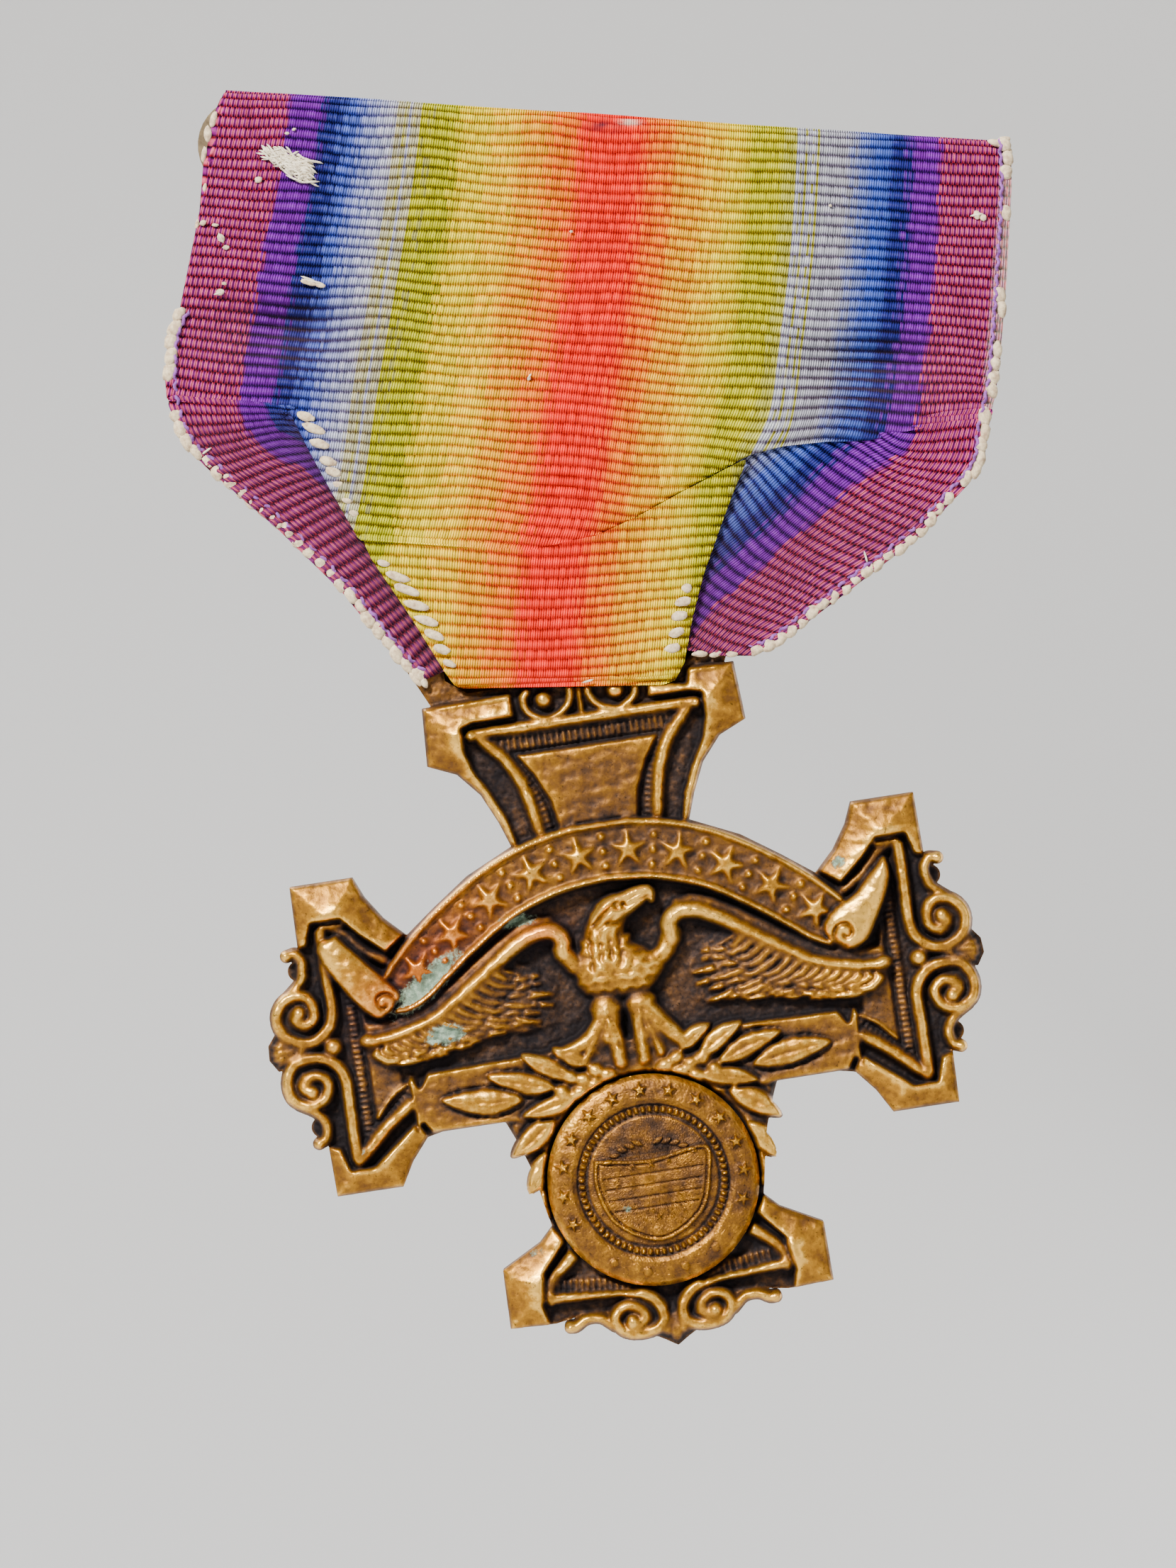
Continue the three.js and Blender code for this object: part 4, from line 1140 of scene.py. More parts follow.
def trimmed_grid(poly, turn, px, pz, holes=()):
    """Grid cells inside an outline, with the rim's points moved onto it."""
    c, q = math.cos(math.radians(turn)), math.sin(math.radians(turn))
    poly = np.asarray(poly, float)
    L = np.stack([poly[:, 0] * c + poly[:, 1] * q, -poly[:, 0] * q + poly[:, 1] * c], -1)
    us = np.arange(L[:, 0].min() - 2 * px, L[:, 0].max() + 2 * px, px)
    vs = np.arange(L[:, 1].min() - 2 * pz, L[:, 1].max() + 2 * pz, pz)
    U, V = np.meshgrid(us, vs)
    E = inside_distance(U, V, L)
    X, Z = U * c - V * q, U * q + V * c
    for h in holes:
        E = np.minimum(E, -inside_distance(X, Z, h))
    quads, rim, used, on_rim = cells_inside(E)
    gu, gv = inward(E, px, pz)
    e, u, v = E.ravel(), U.ravel().copy(), V.ravel().copy()
    u[on_rim] -= np.clip(e * gu, -0.75 * px, 0.75 * px)[on_rim]
    v[on_rim] -= np.clip(e * gv, -0.75 * pz, 0.75 * pz)[on_rim]
    X, Z = u * c - v * q, u * q + v * c
    return X[used], Z[used], np.clip(e, 0, None)[used], quads, rim


def cloth_swell(X, Zr):
    return 0.05 * slow_noise(X, Zr, 11.0, 5)


def rim_fade(X, Zr, lines):
    """The ribs flatten where the cloth ends at a selvedge."""
    d = np.full(X.shape, 9.0)
    for line in lines:
        d = np.minimum(d, line_distance(X, Zr, line)[0])
    return ease(d / 0.16 + 0.25)


def rib_profile(rib):
    return np.abs(np.cos(np.pi * rib)) ** 1.15


EDGE_L = [
    (-17.3, 0.0), (-17.75, -1.2), (-18.05, -3.5), (-18.05, -5.5), (-18.35, -8.0), (-18.6, -10.0),
    (-19.0, -11.2), (-19.0, -13.0), (-18.75, -14.4),
]
WING_L = [
    (-18.75, -14.4), (-18.0, -16.0), (-16.9, -17.0), (-15.9, -17.75), (-13.5, -19.5), (-10.5, -22.0),
    (-8.6, -24.0), (-7.6, -25.0), (-6.6, -25.75),
]
EDGE_R = [(17.5, 0.35), (17.75, -2.0), (17.85, -6.0), (17.85, -10.0), (17.75, -11.3), (17.55, -12.6)]
WING_R = [
    (17.55, -12.6), (17.5, -14.0), (16.9, -15.1), (16.0, -16.2), (14.75, -17.75), (12.25, -20.0),
    (10.0, -22.0), (8.9, -23.0), (7.9, -23.45),
]
FOLD_L = [
    (-13.35, -14.15), (-12.4, -15.75), (-11.3, -17.45), (-10.25, -19.0), (-9.25, -20.5), (-7.25, -23.0),
    (-5.6, -25.25), (-5.1, -25.85),
]
FOLD_R_LINE = [
    (7.05, -14.7), (6.55, -16.2), (6.1, -17.75), (5.5, -20.0), (5.15, -22.0), (4.95, -24.0), (4.6, -24.8),
]
CREASE = [
    (-2.25, -19.35), (-0.8, -19.1), (0.6, -18.7), (2.3, -17.75), (4.2, -16.5), (5.8, -15.5), (7.05, -14.7),
]
CREASE_R = [
    (7.05, -14.7), (8.5, -14.2), (10.5, -13.85), (12.3, -13.7), (13.6, -13.25), (15.5, -12.8),
    (17.55, -12.6),
]
BACK_CUT = [
    (-17.5, -1.5), (-17.7, -7.0), (-12.0, -14.0), (-6.0, -18.5), (-5.4, -23.5), (5.1, -21.5), (6.0, -17.5),
    (12.0, -13.5), (17.6, -7.0), (17.6, -1.5),
]
# fields over a ply: rows of x, height, distance across the ribbon and rib number
PANEL_FIELD = [
    (-9.9, -19.5, 9.1, 42.85), (-6.0, -19.4, 12.7, 42.65), (-2.25, -19.35, 16.2, 42.55),
    (0.6, -18.8, 19.0, 41.9), (2.6, -17.5, 21.0, 39.9), (4.2, -16.5, 22.6, 38.0), (7.0, -14.8, 25.3, 34.9),
    (6.1, -17.75, 24.5, 41.3), (5.5, -20.0, 23.9, 46.3), (5.15, -22.0, 23.5, 50.6),
    (4.8, -24.6, 23.1, 56.2), (-9.25, -20.5, 9.8, 45.0), (-7.25, -23.0, 11.4, 50.4),
    (-5.5, -25.25, 13.0, 55.1), (-1.2, -21.5, 17.25, 47.2), (2.5, -20.6, 20.9, 46.5),
    (2.5, -23.0, 20.9, 51.9), (-1.1, -25.3, 17.25, 55.6), (1.5, -25.2, 19.9, 56.2),
]
WING_L_FIELD = [
    (-19.0, -13.95, 0.0, 30.7), (-16.0, -13.95, 2.75, 30.8), (-13.3, -14.1, 5.6, 31.2),
    (-18.0, -16.0, 0.0, 34.8), (-15.9, -17.75, 0.0, 39.4), (-13.5, -19.5, 0.0, 44.6),
    (-10.5, -22.0, 0.0, 51.0), (-7.6, -25.0, 0.0, 58.0), (-13.6, -14.9, 4.8, 34.6),
    (-12.6, -16.1, 3.8, 38.6), (-10.9, -17.7, 3.35, 44.0), (-9.0, -20.9, 1.9, 51.0),
    (-6.7, -24.0, 1.3, 58.0), (-15.4, -15.6, 2.6, 35.3), (-8.0, -18.0, 6.0, 47.0),
]
WING_R_FIELD = [
    (17.5, -12.6, 35.0, 28.5), (15.5, -12.85, 33.0, 28.5), (13.6, -13.25, 31.1, 29.3),
    (17.4, -14.2, 35.0, 31.6), (16.0, -16.2, 35.0, 35.6), (14.75, -17.75, 35.0, 39.2),
    (12.25, -20.0, 35.0, 45.2), (10.0, -22.0, 35.0, 50.7), (7.9, -23.6, 35.0, 55.5),
    (12.3, -14.2, 31.2, 33.6), (10.8, -16.0, 31.4, 38.1), (8.6, -17.8, 30.9, 43.8),
    (7.0, -16.0, 28.6, 43.6), (7.2, -19.3, 31.0, 47.5), (6.0, -21.0, 31.4, 51.6), (14.6, -15.3, 33.3, 34.4),
    (10.2, -19.3, 33.5, 44.9), (5.2, -23.2, 32.2, 56.6),
]


def rib_height(X, Z, rib, depth):
    """Height of the ribs, whose depth varies slowly, over the cloth's mean face."""
    return depth * (1 + 0.2 * slow_noise(X, Z * 2.2, 4.0, 8)) * (rib_profile(rib) - MEAN_RIB)


class Cloth:
    """The plies of the one strip, each a thin shell."""

    def __init__(self):
        self.px, self.pz = ((0.28, 0.076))
        self.verts, self.faces = [], []
        self.fields = {"warp": [], "rib": [], "worn": [], "stain_and_shade": []}

    def put(self, front, normal, quads, rim, s, rib, worn=0.0, stain_and_shade=0.0, thick=THICK):
        """Adds a shell: its front face, its back face and the wall between them."""
        n, base = len(front), sum(map(len, self.verts))
        wall = np.stack([rim[:, 1], rim[:, 0], rim[:, 0] + n, rim[:, 1] + n], -1)
        self.verts += [front, front - normal * thick]
        self.faces += [f + base for f in (quads, quads[:, ::-1] + n, wall)]
        for key, values in (("warp", np.clip(s, 0.05, 36.0)), ("rib", rib), ("worn", worn), ("stain_and_shade", stain_and_shade)):
            self.fields[key] += [np.broadcast_to(values, n)] * 2

    def put_facing(self, X, Z, y, depth, quads, rim, s, rib, stain_and_shade=0.0):
        """Adds a ply that faces straight forwards at depth y."""
        front = np.stack([X, y - rib_height(X, Z, rib, depth), Z + TOP], -1)
        self.put(front, np.array([0.0, -1.0, 0.0]), quads, rim, s, rib, stain_and_shade=stain_and_shade)


def over_the_fold(X, U):
    """Where the strip lies and which way it faces, U being the length of cloth from the fold's crest."""
    angle = np.clip(U / FOLD_R, -math.pi / 2, math.pi / 2)
    y = (FRONT_Y + BACK_Y) / 2 + FOLD_R * np.sin(angle)
    straight = np.clip(np.abs(U) - math.pi / 2 * FOLD_R, 0, None)
    z = TOP + 0.012 * X - FOLD_R + FOLD_R * np.cos(angle) - straight
    return y, z, np.sin(angle), np.cos(angle)


def upper_field():
    """Field rows for the upper ply, where the height is the length of cloth from the crest."""
    rows = []
    for z, xl, xm, xr in (
        (0.0, -17.5, -0.1, 17.7), (-5, -18.05, -0.05, 17.85), (-10, -18.65, -0.4, 17.85),
        (-13.4, -19.0, -0.65, 17.6),
    ):
        for x, s in ((xl, 0.0), (xm, 17.25), (xr, 35.0), ((xl + xm) / 2, 8.62), ((xm + xr) / 2, 26.1)):
            rows.append((x, z - FOLD_SHIFT, s, -z / RIB))
    for x, z, s, rib in (
        (-12.9, -14.9, 5.7, 32.4), (-10.9, -18.0, 7.9, 39.5), (-9.9, -19.5, 9.1, 42.85),
        (-0.9, -18.0, 17.25, 39.5), (-1.2, -19.4, 17.25, 42.6), (3.0, -17.1, 21.2, 37.2),
        (7.0, -14.75, 25.3, 32.0), (13.6, -13.25, 31.1, 29.3), (10.4, -13.9, 28.3, 30.9),
        (17.5, -12.6, 35.0, 28.5), (15.5, -12.85, 33.0, 28.5),
    ):
        rows.append((x, z - FOLD_SHIFT, s, rib))
    for u, left, right, sl, sr in (
        (3.0, 17.5, 17.6, 0, 35), (10, 17.5, 17.6, 0, 35), (16, 12, 12, 5.2, 29.3),
        (24, 5.5, 5.4, 11.0, 24.0),
    ):
        for x, s in ((-left, sl), ((right - left) / 2, (sl + sr) / 2), (right, sr)):
            rows.append((x, u, s, -u / RIB))
    return rows


def upper_outline():
    def down(points):
        return [(x, z - FOLD_SHIFT) for x, z in points]

    left = down(EDGE_L[1:] + [(-18.8, -14.0), (-16.0, -14.0)])
    fold = down(FOLD_L[:4] + [(-9.85, -19.6), (-2.25, -19.6)])
    right = down(CREASE[1:] + CREASE_R[1:] + EDGE_R[::-1][1:-1]) + [(17.55, -0.5), (17.6, 1.5)]
    back = [(x, -z - FOLD_SHIFT + 1.2) for x, z in BACK_CUT[::-1]]
    return left + fold + right + back + [(-17.5, 1.5), (-17.35, -0.4)]


def slit(x0, x1, above, below):
    """An opening in the back for the hinge or the catch, about the plate's centre line."""
    u0, u1 = TOP - above + FOLD_SHIFT, TOP + below + FOLD_SHIFT
    return [(x0, u0), (x1, u0), (x1, u1), (x0, u1)]


def upper_ply(cloth):
    """The upper half of the front, over the top fold and down the back."""
    slits = [slit(-15.7, -11.5, 1.95, 2.0), slit(11.95, 14.45, 1.7, 1.7)]
    X, U, _, quads, rim = trimmed_grid(upper_outline(), 0, cloth.px, cloth.pz, slits)
    s, rib = spline_field(upper_field())(X, U)
    rib = rib + 0.20 * slow_noise(X, U, 6.0, 3)
    Z = U + FOLD_SHIFT
    y, z, ny, nz = over_the_fold(X, U)
    front = U < 0
    # hollows and swellings, a pull at the left, and the panel's slope towards its fold
    swell = -spot(X, Z, -13.6, -10.3, 2.8, 1.0) - spot(X, Z, 12.2, -10.1, 2.6, 1.0)
    swell += 0.25 * (spot(X, Z, -12.2, -12.4, 2.2, 0.9) + spot(X, Z, 10.5, -12.2, 2.6, 0.8))
    swell -= 0.096 * (X < -13.2) * ease((-Z - 11.8) / 2.2) * ease((X + 18.0) / 3.0)
    swell += (FRONT_Y - PANEL_Y) * ease((-Z - 10.5) / 6.5) * ease((8.5 - np.abs(X + 3.0)) / 6.0 + 0.9)
    # at its folded left edge and along the crease the cloth rolls back
    to_fold, _, _ = line_distance(X, Z, FOLD_L[:5])
    to_crease, _, _ = line_distance(X, Z, CREASE[2:] + CREASE_R[1:5])
    swell -= 0.20 * bell(to_fold, 0.28) + 0.10 * bell(to_crease, 0.3) - 0.10 * bell(to_crease - 0.7, 0.6)
    pinch = front * sum(
        spot(X - 0.25 * (Z - cz), Z, cx, cz, a, b)
        for cx, cz, a, b in ((-13.4, -11.0, 3.4, 1.6), (12.0, -11.2, 3.2, 1.9))
    )
    depth = RIB_DEPTH * rim_fade(X, Z, (EDGE_L, EDGE_R, CREASE)) * (1 + 0.5 * pinch)
    h = rib_height(X, Z, rib, depth) + cloth_swell(X, Z) + front * swell
    worn = 0.25 * ease((X - 17.1) / 0.4) + 0.75 * spot(X, Z, 0.65, -0.15, 0.35, 0.2)
    stain_and_shade = 0.85 * spot(X, Z, -0.45, -0.55, 0.7, 0.38) * (0.6 + 0.4 * slow_noise(X, U, 0.6, 9))
    stain_and_shade += 0.5 * spot(X, Z, -7.0, -13.1, 0.12, 0.12)
    # painted shade in the rib valleys where the cloth is pinched into dents
    stain_and_shade += 0.85 * pinch * np.clip(1.1 - rib_profile(rib), 0, 1) ** 0.8
    normal = np.stack([np.zeros_like(X), ny, nz], -1)
    at = np.stack([X, y, z], -1) + normal * h[:, None]
    cloth.put(at, normal, quads, rim, s, rib, np.clip(worn * front, 0, 1), np.clip(stain_and_shade * front, 0, 1))


def lower_panel(cloth):
    """The front's lower half, whose ribs turn up at the right of the crease."""
    bottom = [(-4.7, -25.9), (4.1, -25.05)]
    outline = [(-9.9, -19.3)] + FOLD_L[4:] + bottom + FOLD_R_LINE[::-1] + CREASE[::-1][1:] + [(-2.25, -19.3)]
    X, Z, _, quads, rim = trimmed_grid(outline, 0, cloth.px * 0.8, cloth.pz)
    s, rib = spline_field(PANEL_FIELD)(X, Z)
    rib = rib + 0.12 * slow_noise(X, Z, 5.0, 13)
    lines = (FOLD_R_LINE, FOLD_L[3:], list(zip(FOLD_X, FOLD_Z)), CREASE[1:])
    to_right, to_left, to_bottom, to_crease = (line_distance(X, Z, line)[0] for line in lines)
    roll = 0.20 * (bell(to_right, 0.28) + bell(to_left, 0.28)) + 0.26 * bell(to_bottom, 0.22)
    y = PANEL_Y - cloth_swell(X, Z) + roll - 0.14 * bell(to_crease, 0.5) * ease((X + 1.5) / 3.0)
    cloth.put_facing(X, Z, y, RIB_DEPTH, quads, rim, s, rib)


def left_wing(cloth):
    """The pleat behind the panel's left fold."""
    outline = WING_L + [(-4.6, -24.6), (-6.0, -20.0), (-9.5, -16.0), (-12.0, -13.95), (-18.75, -13.95)]
    X, Z, E, quads, rim = trimmed_grid(outline, 32, cloth.px * 0.7, cloth.pz)
    s, rib = spline_field(WING_L_FIELD)(X, Z)
    rib = rib + 0.06 * slow_noise(X, Z, 5.0, 23)
    y = FRONT_Y + (WING_Y - FRONT_Y) * ease((-Z - 13.9) / 2.5) - cloth_swell(X, Z)
    y = np.where((X > -13.6) & (Z < -14.2), np.maximum(y, WING_Y - 0.02), y)
    y -= 0.13 * bell(E - 0.3, 0.35) * ease((-Z - 15) / 2)
    depth = 0.150 * (1 + 0.35 * ease((-Z - 22.0) / 2.0)) * rim_fade(X, Z, (WING_L,))
    to_fold, _, _ = line_distance(X, Z, FOLD_L)
    # painted shade: the wing darker below its top and next to the panel's fold, where it lies in shadow
    wing_shade = 0.34 * ease((-Z - 14.0) / 2.0) + 0.45 * np.exp(-to_fold / 0.45) * (Z < -14.2)
    cloth.put_facing(X, Z, y, depth, quads, rim, s, rib, wing_shade)


def right_wing(cloth):
    """The pleat behind the panel's right fold, which meets the upper ply flush."""
    outline = [(17.75, -11.6), (17.57, -12.5)] + WING_R[1:] + [
        (6.6, -23.55), (4.6, -23.4), (3.4, -21.5), (4.0, -17.5), (5.6, -14.3), (8.0, -13.3), (12.0, -12.7),
        (13.6, -12.6), (15.5, -12.0),
    ]
    X, Z, E, quads, rim = trimmed_grid(outline, -46, cloth.px * 0.7, cloth.pz)
    s, rib = spline_field(WING_R_FIELD)(X, Z)
    rib = rib + 0.20 * slow_noise(X, Z - FOLD_SHIFT, 6.0, 3)
    sunk = ease((-Z - 12.9) / 1.8 + ease((13.4 - X) / 2.0) * 0.9)
    y = FRONT_Y + (WING_Y - FRONT_Y) * sunk - cloth_swell(X, Z)
    y -= 0.12 * bell(E - 0.3, 0.35) * ease((-Z - 15) / 2)
    above = Z - np.interp(X, [13.6, 15.5, 17.55], [-13.25, -12.8, -12.6])
    y += 0.28 * ease((above - 0.14) / 0.16) * ease((14.3 - X) / 0.9) - 0.012 * (X > 14.0)
    depth = 0.145 * rim_fade(X, Z, (WING_R,))
    to_fold, _, _ = line_distance(X, Z, FOLD_R_LINE)
    # painted shade: the wing darker towards its bottom and next to the panel's fold, where it lies in shadow
    wing_shade = 0.26 * ease((-Z - 14.5) / 3.0) + 0.40 * np.exp(-to_fold / 0.5)
    cloth.put_facing(X, Z, y, depth, quads, rim, s, rib, wing_shade)


def bar_loop(cloth):
    """The loop from the bottom fold, under the cross's bar, to the back."""
    xs = np.linspace(-5.0, 4.45, 40)
    slot_top = 14.86
    fold = np.interp(xs, FOLD_X, FOLD_Z) + TOP
    under = CROSS_Z + slot_top / math.cos(TURN) + (xs - CROSS_X) * math.tan(TURN)
    profiles = np.array([
        curve_points([
            (PANEL_Y + 0.05, a + 0.32), (PANEL_Y + 0.12, a + 0.08), (PANEL_Y + 0.27, a - 0.01),
            (PANEL_Y + 0.42, a + 0.06), (-2.55, a + 0.3), (-2.48, max(b - 0.35, a + 0.4)), (-2.15, b - 0.04),
            (-1.75, b + 0.0), (-1.25, b + 0.02), (-0.98, b + 0.3), (-0.78, b + 0.9), (-0.70, b + 1.8),
        ], 6)
        for a, b in zip(fold, under)
    ])
    n, m = profiles.shape[:2]
    dy, dz = np.gradient(profiles[..., 0], axis=1), np.gradient(profiles[..., 1], axis=1)
    step = np.maximum(np.hypot(dy, dz), 1e-6)
    normal = np.stack([np.zeros_like(dy), dz / step, -dy / step], -1)
    normal[..., 1:] *= np.sign(-normal[:, :1, 1:2] + 1e-12)
    i = np.arange(n * m).reshape(n, m)
    rim = np.concatenate([
        np.stack([i[0, :-1], i[0, 1:]], -1), np.stack([i[-1, 1:], i[-1, :-1]], -1),
        np.stack([i[1:, 0], i[:-1, 0]], -1), np.stack([i[:-1, -1], i[1:, -1]], -1),
    ])
    rib = 56.6 + np.cumsum(np.hypot(dy, dz), 1) / RIB
    at = np.concatenate([np.repeat(xs[:, None, None], m, 1), profiles], -1)
    at += normal * (0.10 * (rib_profile(rib) - MEAN_RIB))[..., None]
    warp = np.repeat(np.interp(xs, FOLD_X, [13.3, 23.0]), m)
    cloth.put(at.reshape(-1, 3), normal.reshape(-1, 3), grid_faces(n, m), rim, warp, rib.ravel(), thick=0.18)


def build_ribbon(material):
    cloth = Cloth()
    for ply in (upper_ply, lower_panel, left_wing, right_wing, bar_loop):
        ply(cloth)
    fields = {key: np.concatenate(values) for key, values in cloth.fields.items()}
    ob = make_mesh("ribbon_cloth", np.vstack(cloth.verts), cloth.faces, material, fields)
    sharp_by_angle(ob, 70)
    return ob


# ------------------------------------------------------------------ stitches and worn threads
def blobs(name, items, material):
    """Uneven little rolls of thread; items: (x, y, z, length, width, depth, angle in degrees)."""
    seg, rings, rough = 10, 7, 0.10
    t, a = np.meshgrid(np.linspace(0, math.pi, rings + 1), np.arange(seg) * 2 * math.pi / seg, indexing="ij")
    v0 = np.stack([np.cos(t), np.sin(t) * np.cos(a), np.sin(t) * np.sin(a)], -1).reshape(-1, 3)
    V, F = [], []
    for k, (x, y, z, length, width, depth, turn) in enumerate(items):
        v = v0 * [length / 2, depth / 2, width / 2]
        v = v * (1 + rough * slow_noise(v0[:, 0] * 3 + k, v0[:, 2] * 3 + v0[:, 1], 3.0, k))[:, None]
        c, s = math.cos(math.radians(turn)), math.sin(math.radians(turn))
        V.append(np.stack([v[:, 0] * c - v[:, 2] * s + x, v[:, 1] + y, v[:, 0] * s + v[:, 2] * c + z], -1))
        F.append(ring_faces(rings + 1, seg) + k * len(v0))
    ob = make_mesh(name, np.vstack(V), [np.vstack(F)], material)
    clean_mesh(ob, weld=2e-7)
    return ob


def tubes(name, paths, radius, material, sides):
    """Threads along the paths, which taper at both ends."""
    V, F, n = [], [], 0
    a = np.linspace(0, 2 * np.pi, sides, endpoint=False)[None, :, None]
    for path in paths:
        p = np.asarray(path, float)
        ahead = np.gradient(p, axis=0)
        ahead /= np.linalg.norm(ahead, axis=1)[:, None]
        b = np.cross(ahead, [0.0, -1.0, 0.0])
        b /= np.maximum(np.linalg.norm(b, axis=1), 1e-9)[:, None]
        rad = np.full((len(p), 1, 1), radius)
        rad[0] = rad[-1] = radius * 0.3
        ring = b[:, None] * np.cos(a) + np.cross(b, ahead)[:, None] * np.sin(a)
        V.append((p[:, None] + rad * ring).reshape(-1, 3))
        F.append(ring_faces(len(p), sides) + n)
        n += len(V[-1])
    ob = make_mesh(name, np.vstack(V), [np.vstack(F)], material)
    clean_mesh(ob, fill=True)
    return ob


def edge_y(x, zr):
    """Depth of the front cloth near its outer edges."""
    return FRONT_Y + (WING_Y - FRONT_Y) * float(ease((-zr - 13.0) / 3.0)) + 0.02


# worn weft on the panel's left fold, one at each rib: height and length
FOLD_WEAR = (
    (-14.45, 0.85), (-14.95, 1.1), (-15.6, 0.9), (-16.35, 0.8), (-16.8, 0.75), (-17.35, 0.6), (-18.0, 0.5),
    (-18.55, 0.45), (-20.65, 0.6), (-21.2, 1.15), (-21.75, 1.25), (-22.4, 1.15), (-23.05, 1.1),
    (-23.65, 0.95), (-24.25, 0.8), (-24.85, 0.65),
)
# loose bits: x, height, length, width and angle
CREAM_LOOPS = (
    (-17.75, -1.6, 0.75, 0.32, 80), (-17.95, -2.3, 0.7, 0.36, 95), (-18.05, -3.2, 0.7, 0.26, 85),
    (-17.9, -4.7, 0.5, 0.2, 85), (-18.1, -6.3, 0.5, 0.2, 80),
)
WING_TIPS = (
    (5.6, -23.55, 0.75, 0.30, 5), (6.3, -23.5, 0.6, 0.30, 20), (7.0, -23.45, 0.6, 0.30, 10),
    (-6.9, -25.65, 0.8, 0.30, -45), (-6.5, -25.75, 0.6, 0.30, -60),
)
SPECKS = (
    (-12.95, -8.5, 0.75, 0.28, -8), (-12.45, -8.6, 0.5, 0.22, -5), (-17.0, -6.85, 0.42, 0.32, -50),
    (-16.75, -7.25, 0.3, 0.22, 10), (-16.85, -9.25, 0.38, 0.32, 15), (-16.7, -8.85, 0.22, 0.16, 0),
    (-17.85, -6.25, 0.32, 0.24, 30), (-17.3, -6.3, 0.3, 0.16, 0), (-15.55, -4.15, 0.35, 0.3, 20),
    (-14.45, -2.0, 0.2, 0.14, 0), (-14.15, -1.8, 0.2, 0.14, 30), (16.3, -3.2, 0.4, 0.3, -70),
    (16.6, -3.3, 0.3, 0.3, -80), (-1.55, -5.35, 0.16, 0.12, 0), (9.8, -3.3, 0.16, 0.12, 0),
    (-2.9, -12.0, 0.2, 0.14, 50),
)
TOP_RIGHT = ((17.0, 0.05, 0.9, 0.34, -10), (17.5, -0.5, 0.8, 0.34, 80), (17.2, 0.2, 0.7, 0.34, 20))
# single threads: x, height, angle and length
LOOSE_THREADS = (
    (-12.8, -8.45, -8, 1.0), (-13.0, -8.35, -15, 0.7), (-17.0, -6.85, -60, 0.5), (-16.9, -9.3, 20, 0.45),
    (16.3, -3.2, 15, 0.6), (12.6, -18.7, -70, 0.55), (0.75, -25.15, 20, 0.5), (-16.9, -16.3, 40, 0.5),
    (-2.9, -11.9, 60, 0.3),
)


def edge_stitching(g):
    """The cream stitches round both outer edges, and the purple thread beside them."""
    items, paths = [], []
    right, left = (curve_points(line, 6) for line in (EDGE_R + WING_R[1:], EDGE_L[5:] + WING_L[1:]))
    worn_above, worn_share, kept_share = -9, 0.5, 0.06
    for line, pitch, side in ((right, 0.60, 1), (left, 0.66, -1)):
        n = int(length_of(line) / pitch)
        for k in range(n):
            p, out, angle = frame_at(line, (k + 0.5) / n, side)
            p = p - out * g.uniform(0.12, 0.26)
            if g.random() < (worn_share if p[1] > worn_above else kept_share):
                continue
            items.append((
                p[0], edge_y(*p) + g.uniform(-0.02, 0.03), p[1] + TOP, pitch * g.uniform(1.1, 1.5),
                g.uniform(0.44, 0.62), g.uniform(0.40, 0.46), angle + side * g.uniform(4, 22),
            ))
        path = []
        for i, f in enumerate(np.linspace(0.0, 1, int(length_of(line) / 0.12))):
            p, out, _ = frame_at(line, f, side)
            p = p - out * (0.44 + 0.05 * math.sin(i * 1.6))
            path.append((p[0], edge_y(*p) - 0.06 + 0.10 * math.sin(i * 1.15 + 1), p[1] + TOP))
        paths.append(path)
    return items, paths


def fold_wear(g):
    """Worn weft on both folds of the panel."""
    items = []
    fold = -np.array(FOLD_L)
    for z, length in FOLD_WEAR:
        x = -float(np.interp(-z, fold[:, 1], fold[:, 0]))
        depth = FRONT_Y + (PANEL_Y - FRONT_Y) * float(ease((-z - 10.5) / 6.5))
        items.append((
            x + 0.22 + length * 0.38, depth - 0.05 + (0.10 if length < 0.7 else 0), z + TOP, length,
            0.42 if length > 0.7 else 0.32, 0.22, -14 + g.uniform(-5, 5),
        ))
    for x, z, length in (
        (4.85, -20.7, 0.45), (4.75, -21.3, 0.75), (4.62, -21.95, 0.75), (4.55, -22.7, 0.72),
        (4.45, -23.4, 0.7),
    ):
        items.append((x - 0.06, PANEL_Y - 0.03, z + TOP, length, 0.44, 0.22, 20 + g.uniform(-6, 6)))
    return items


def tear_tuft(g):
    """The frayed tear: a tuft of broken weft."""
    tuft = []
    for k in range(210):
        f = g.random() ** 0.7
        x0, z0 = -15.3 + 1.9 * f + g.normal(0, 0.1), -2.9 - 0.75 * f + g.normal(0, 0.18) * (0.5 + f)
        a = math.radians(g.uniform(-48, 14))
        length = g.uniform(0.35, 1.15)
        tuft.append([
            (
                x0 + (t - 0.5) * length * math.cos(a),
                FRONT_Y - 0.10 - 0.20 * math.sin(math.pi * t) * g.uniform(0.2, 1.4),
                z0 + (t - 0.5) * length * math.sin(a) + 0.10 * math.sin(3 * t + k) + TOP,
            )
            for t in np.linspace(0, 1, 7)
        ])
    return tuft


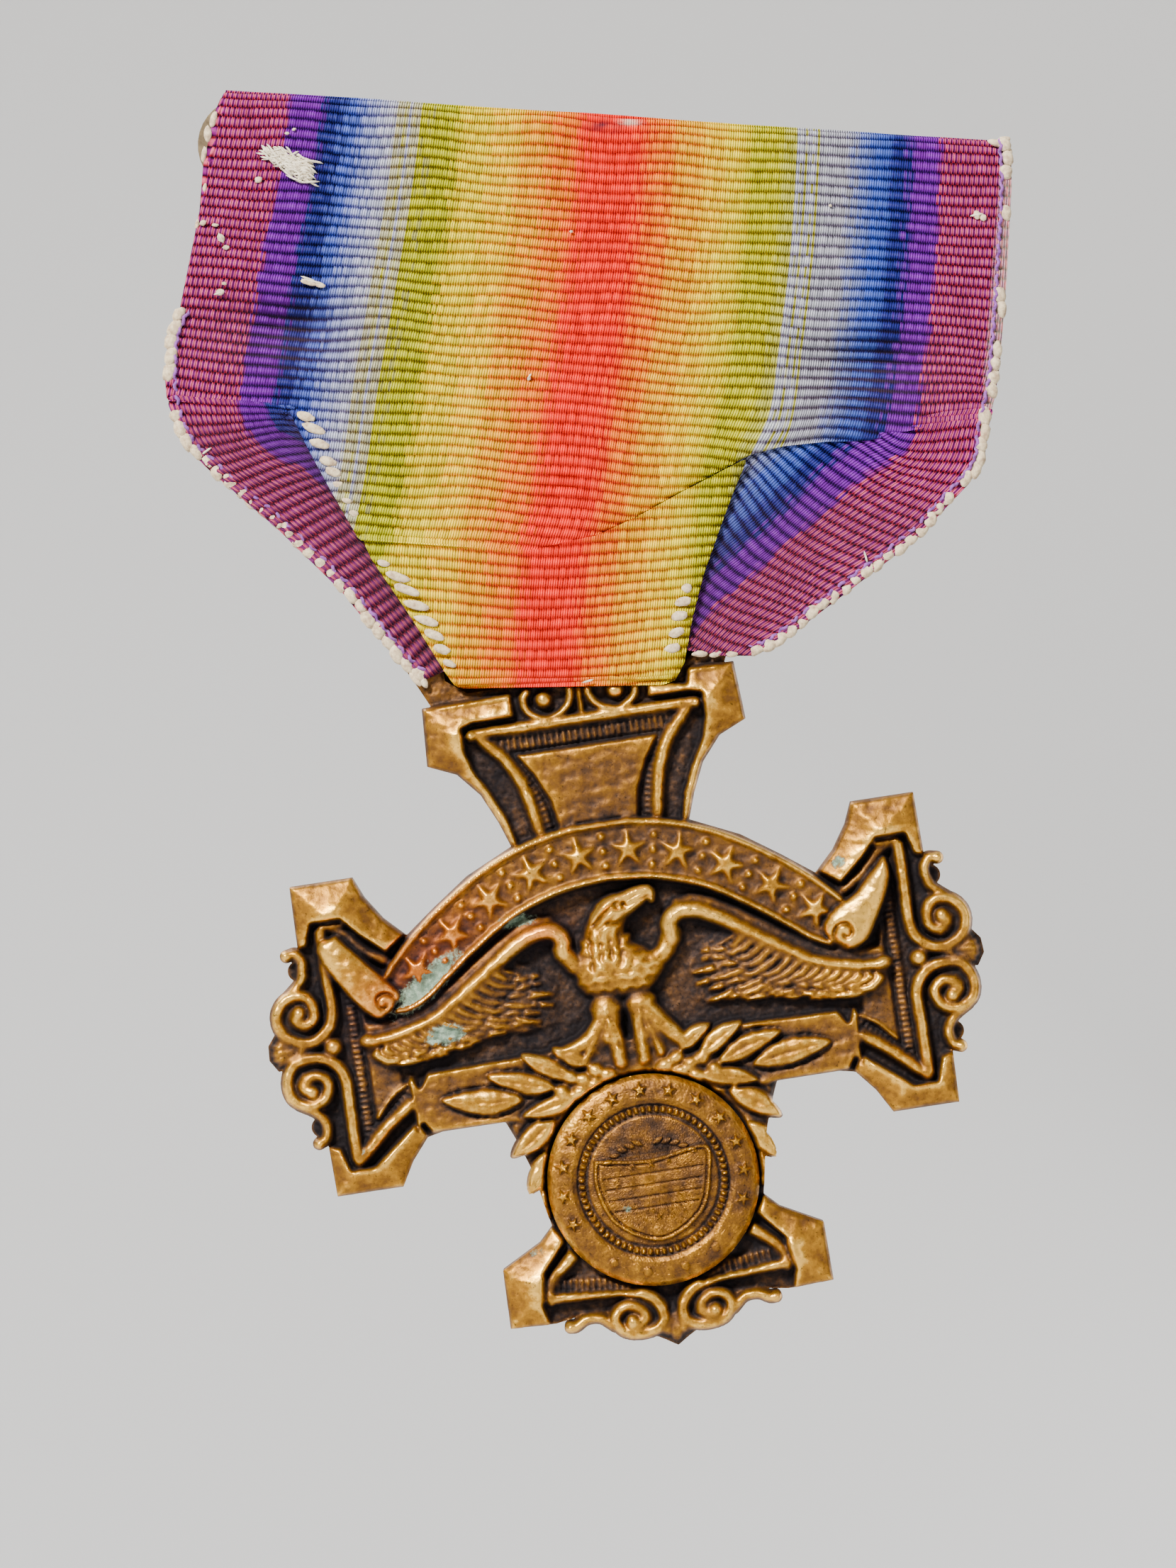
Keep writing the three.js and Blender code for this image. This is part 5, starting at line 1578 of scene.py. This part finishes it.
def build_stitches(cream, pale, purple):
    g = np.random.default_rng(21)
    items, paths = edge_stitching(g)

    def scatter(bits, y, depth):
        return [(x, y, z + TOP, length, width, depth, turn) for x, z, length, width, turn in bits]

    items += scatter(CREAM_LOOPS, FRONT_Y + 0.06, 0.26) + fold_wear(g) + scatter(WING_TIPS, WING_Y, 0.26)
    items += scatter(SPECKS, FRONT_Y - 0.12, 0.16) + scatter(TOP_RIGHT, FRONT_Y + 0.1, 0.3)
    threads = tear_tuft(g)
    for x, z, angle, length in LOOSE_THREADS:
        t = np.linspace(-0.5, 0.5, 6)[:, None]
        ahead = np.array([math.cos(math.radians(angle)), 0, math.sin(math.radians(angle))])
        y = PANEL_Y - 0.05 if z < -16 and -8 < x < 5 else edge_y(x, z) - 0.13
        lifted = np.array([0, -0.06, 0]) * (1 - 4 * t**2)
        threads.append(np.array([x, y, z + TOP]) + t * length * ahead + lifted)
    stitches = blobs("edge_stitches", items, cream)
    fray = tubes("frayed_threads", threads, 0.045, pale, 6)
    border = tubes("edge_threads", paths, 0.075, purple, 8)
    return stitches, fray, border


def build_sewing(cream):
    """The tacking thread that holds the back ply's turned-up end."""
    path = []
    for k in range(9):
        x = -4.2 + k * 1.0
        z = -18.2 + 0.16 * x + (0.35 if k % 2 else -0.35)
        path += [
            (x - 0.35, BACK_Y + 0.06, z + 0.02), (x, BACK_Y + 0.16, z + 0.1),
            (x + 0.35, BACK_Y + 0.05, z + 0.02),
        ]
    return tubes("tacking", [curve_points(path, 4)], 0.12, cream, 8)


# ------------------------------------------------------------------ camera, light and floor
def area_light(name, at, size, power, colour=(1, 1, 1)):
    """A round light that points at the middle of the medal."""
    light = bpy.data.lights.new(name, "AREA")
    light.shape = "DISK"
    light.size, light.energy, light.color = size, power, colour
    o = bpy.data.objects.new(name, light)
    o.location = at
    o.rotation_mode = "QUATERNION"
    o.rotation_quaternion = (Vector((0.001, -0.002, -0.025)) - Vector(at)).to_track_quat("-Z", "Y")
    bpy.context.scene.collection.objects.link(o)


def studio():
    cam = bpy.data.cameras.new("camera")
    cam.sensor_width, cam.lens = 36, 155
    cam.clip_start, cam.clip_end = 0.01, 20
    o = bpy.data.objects.new("camera", cam)
    bpy.context.scene.collection.objects.link(o)
    tilt = 0.0785  # sine of the camera's roll
    level = math.sqrt(1 - tilt * tilt)
    o.matrix_world = Matrix((
        (level, -tilt, 0, 0.00111), (0, 0, -1, -0.302), (tilt, level, 0, -0.02709), (0, 0, 0, 1),
    ))
    bpy.context.scene.camera = o
    area_light("key", (-0.30, -0.42, 0.34), 0.14, 13.0, (1.0, 0.97, 0.93))
    area_light("fill", (0.45, -0.40, 0.05), 0.5, 1.3, (1.0, 0.97, 0.93))
    area_light("rim", (-0.25, 0.32, 0.30), 0.35, 2.2)
    area_light("rear", (0.30, 0.40, 0.02), 0.5, 1.6)
    world = bpy.data.worlds.new("studio")
    world.use_nodes = True
    background = world.node_tree.nodes["Background"]
    background.inputs[0].default_value = (0.84, 0.83, 0.82, 1)
    background.inputs[1].default_value = 0.40
    bpy.context.scene.world = world
    pale = Look("pale_floor")
    pale.feed(pale.bsdf.inputs["Base Color"], (0.62, 0.62, 0.62))
    pale.feed(pale.bsdf.inputs["Roughness"], 0.9)
    # the floor runs up into a wall behind; metres
    profile = [(-2.5, -0.16), (0.2, -0.16)]
    profile += [(0.35 + 0.3 * math.sin(t), 0.14 - 0.3 * math.cos(t)) for t in np.linspace(0, math.pi / 2, 14)]
    profile += [(0.65, 1.6)]
    verts = np.array([(x, y, z) for y, z in profile for x in (-2.5, 2.5)]) / MM
    floor = make_mesh("floor", verts, [grid_faces(len(profile), 2)], pale.material)


# ------------------------------------------------------------------ build
studio()
bronze = bronze_material()
cross = build_cross(bronze)
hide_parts("struck_cross")
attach(cross, "cross")
seal = build_seal(bronze)
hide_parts("seal_disc")
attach(seal, "cross")

weave = ribbon_material()
ribbon = build_ribbon(weave)
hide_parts("ribbon")
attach(ribbon, "ribbon_and_brooch")
cream = thread_material("worn_cream_thread", (0.64, 0.52, 0.33), (0.30, 0.20, 0.12))
pale = thread_material("frayed_pale_thread", (0.74, 0.67, 0.52), (0.44, 0.36, 0.24))
purple = thread_material("purple_thread", (0.26, 0.06, 0.36), (0.07, 0.01, 0.12))
stitches, fray, border = build_stitches(cream, pale, purple)
sewing = build_sewing(cream)
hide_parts("tack_thread")
for o in (stitches, fray, border, sewing):
    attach(o, "ribbon_and_brooch")

brass = tarnished_metal()
for name in ("brooch_plate", "pin_hinge", "hinge_rivet", "brooch_pin", "pin_catch"):
    node = bpy.data.objects[name]
    node.data.materials.clear()
    node.data.materials.append(brass)
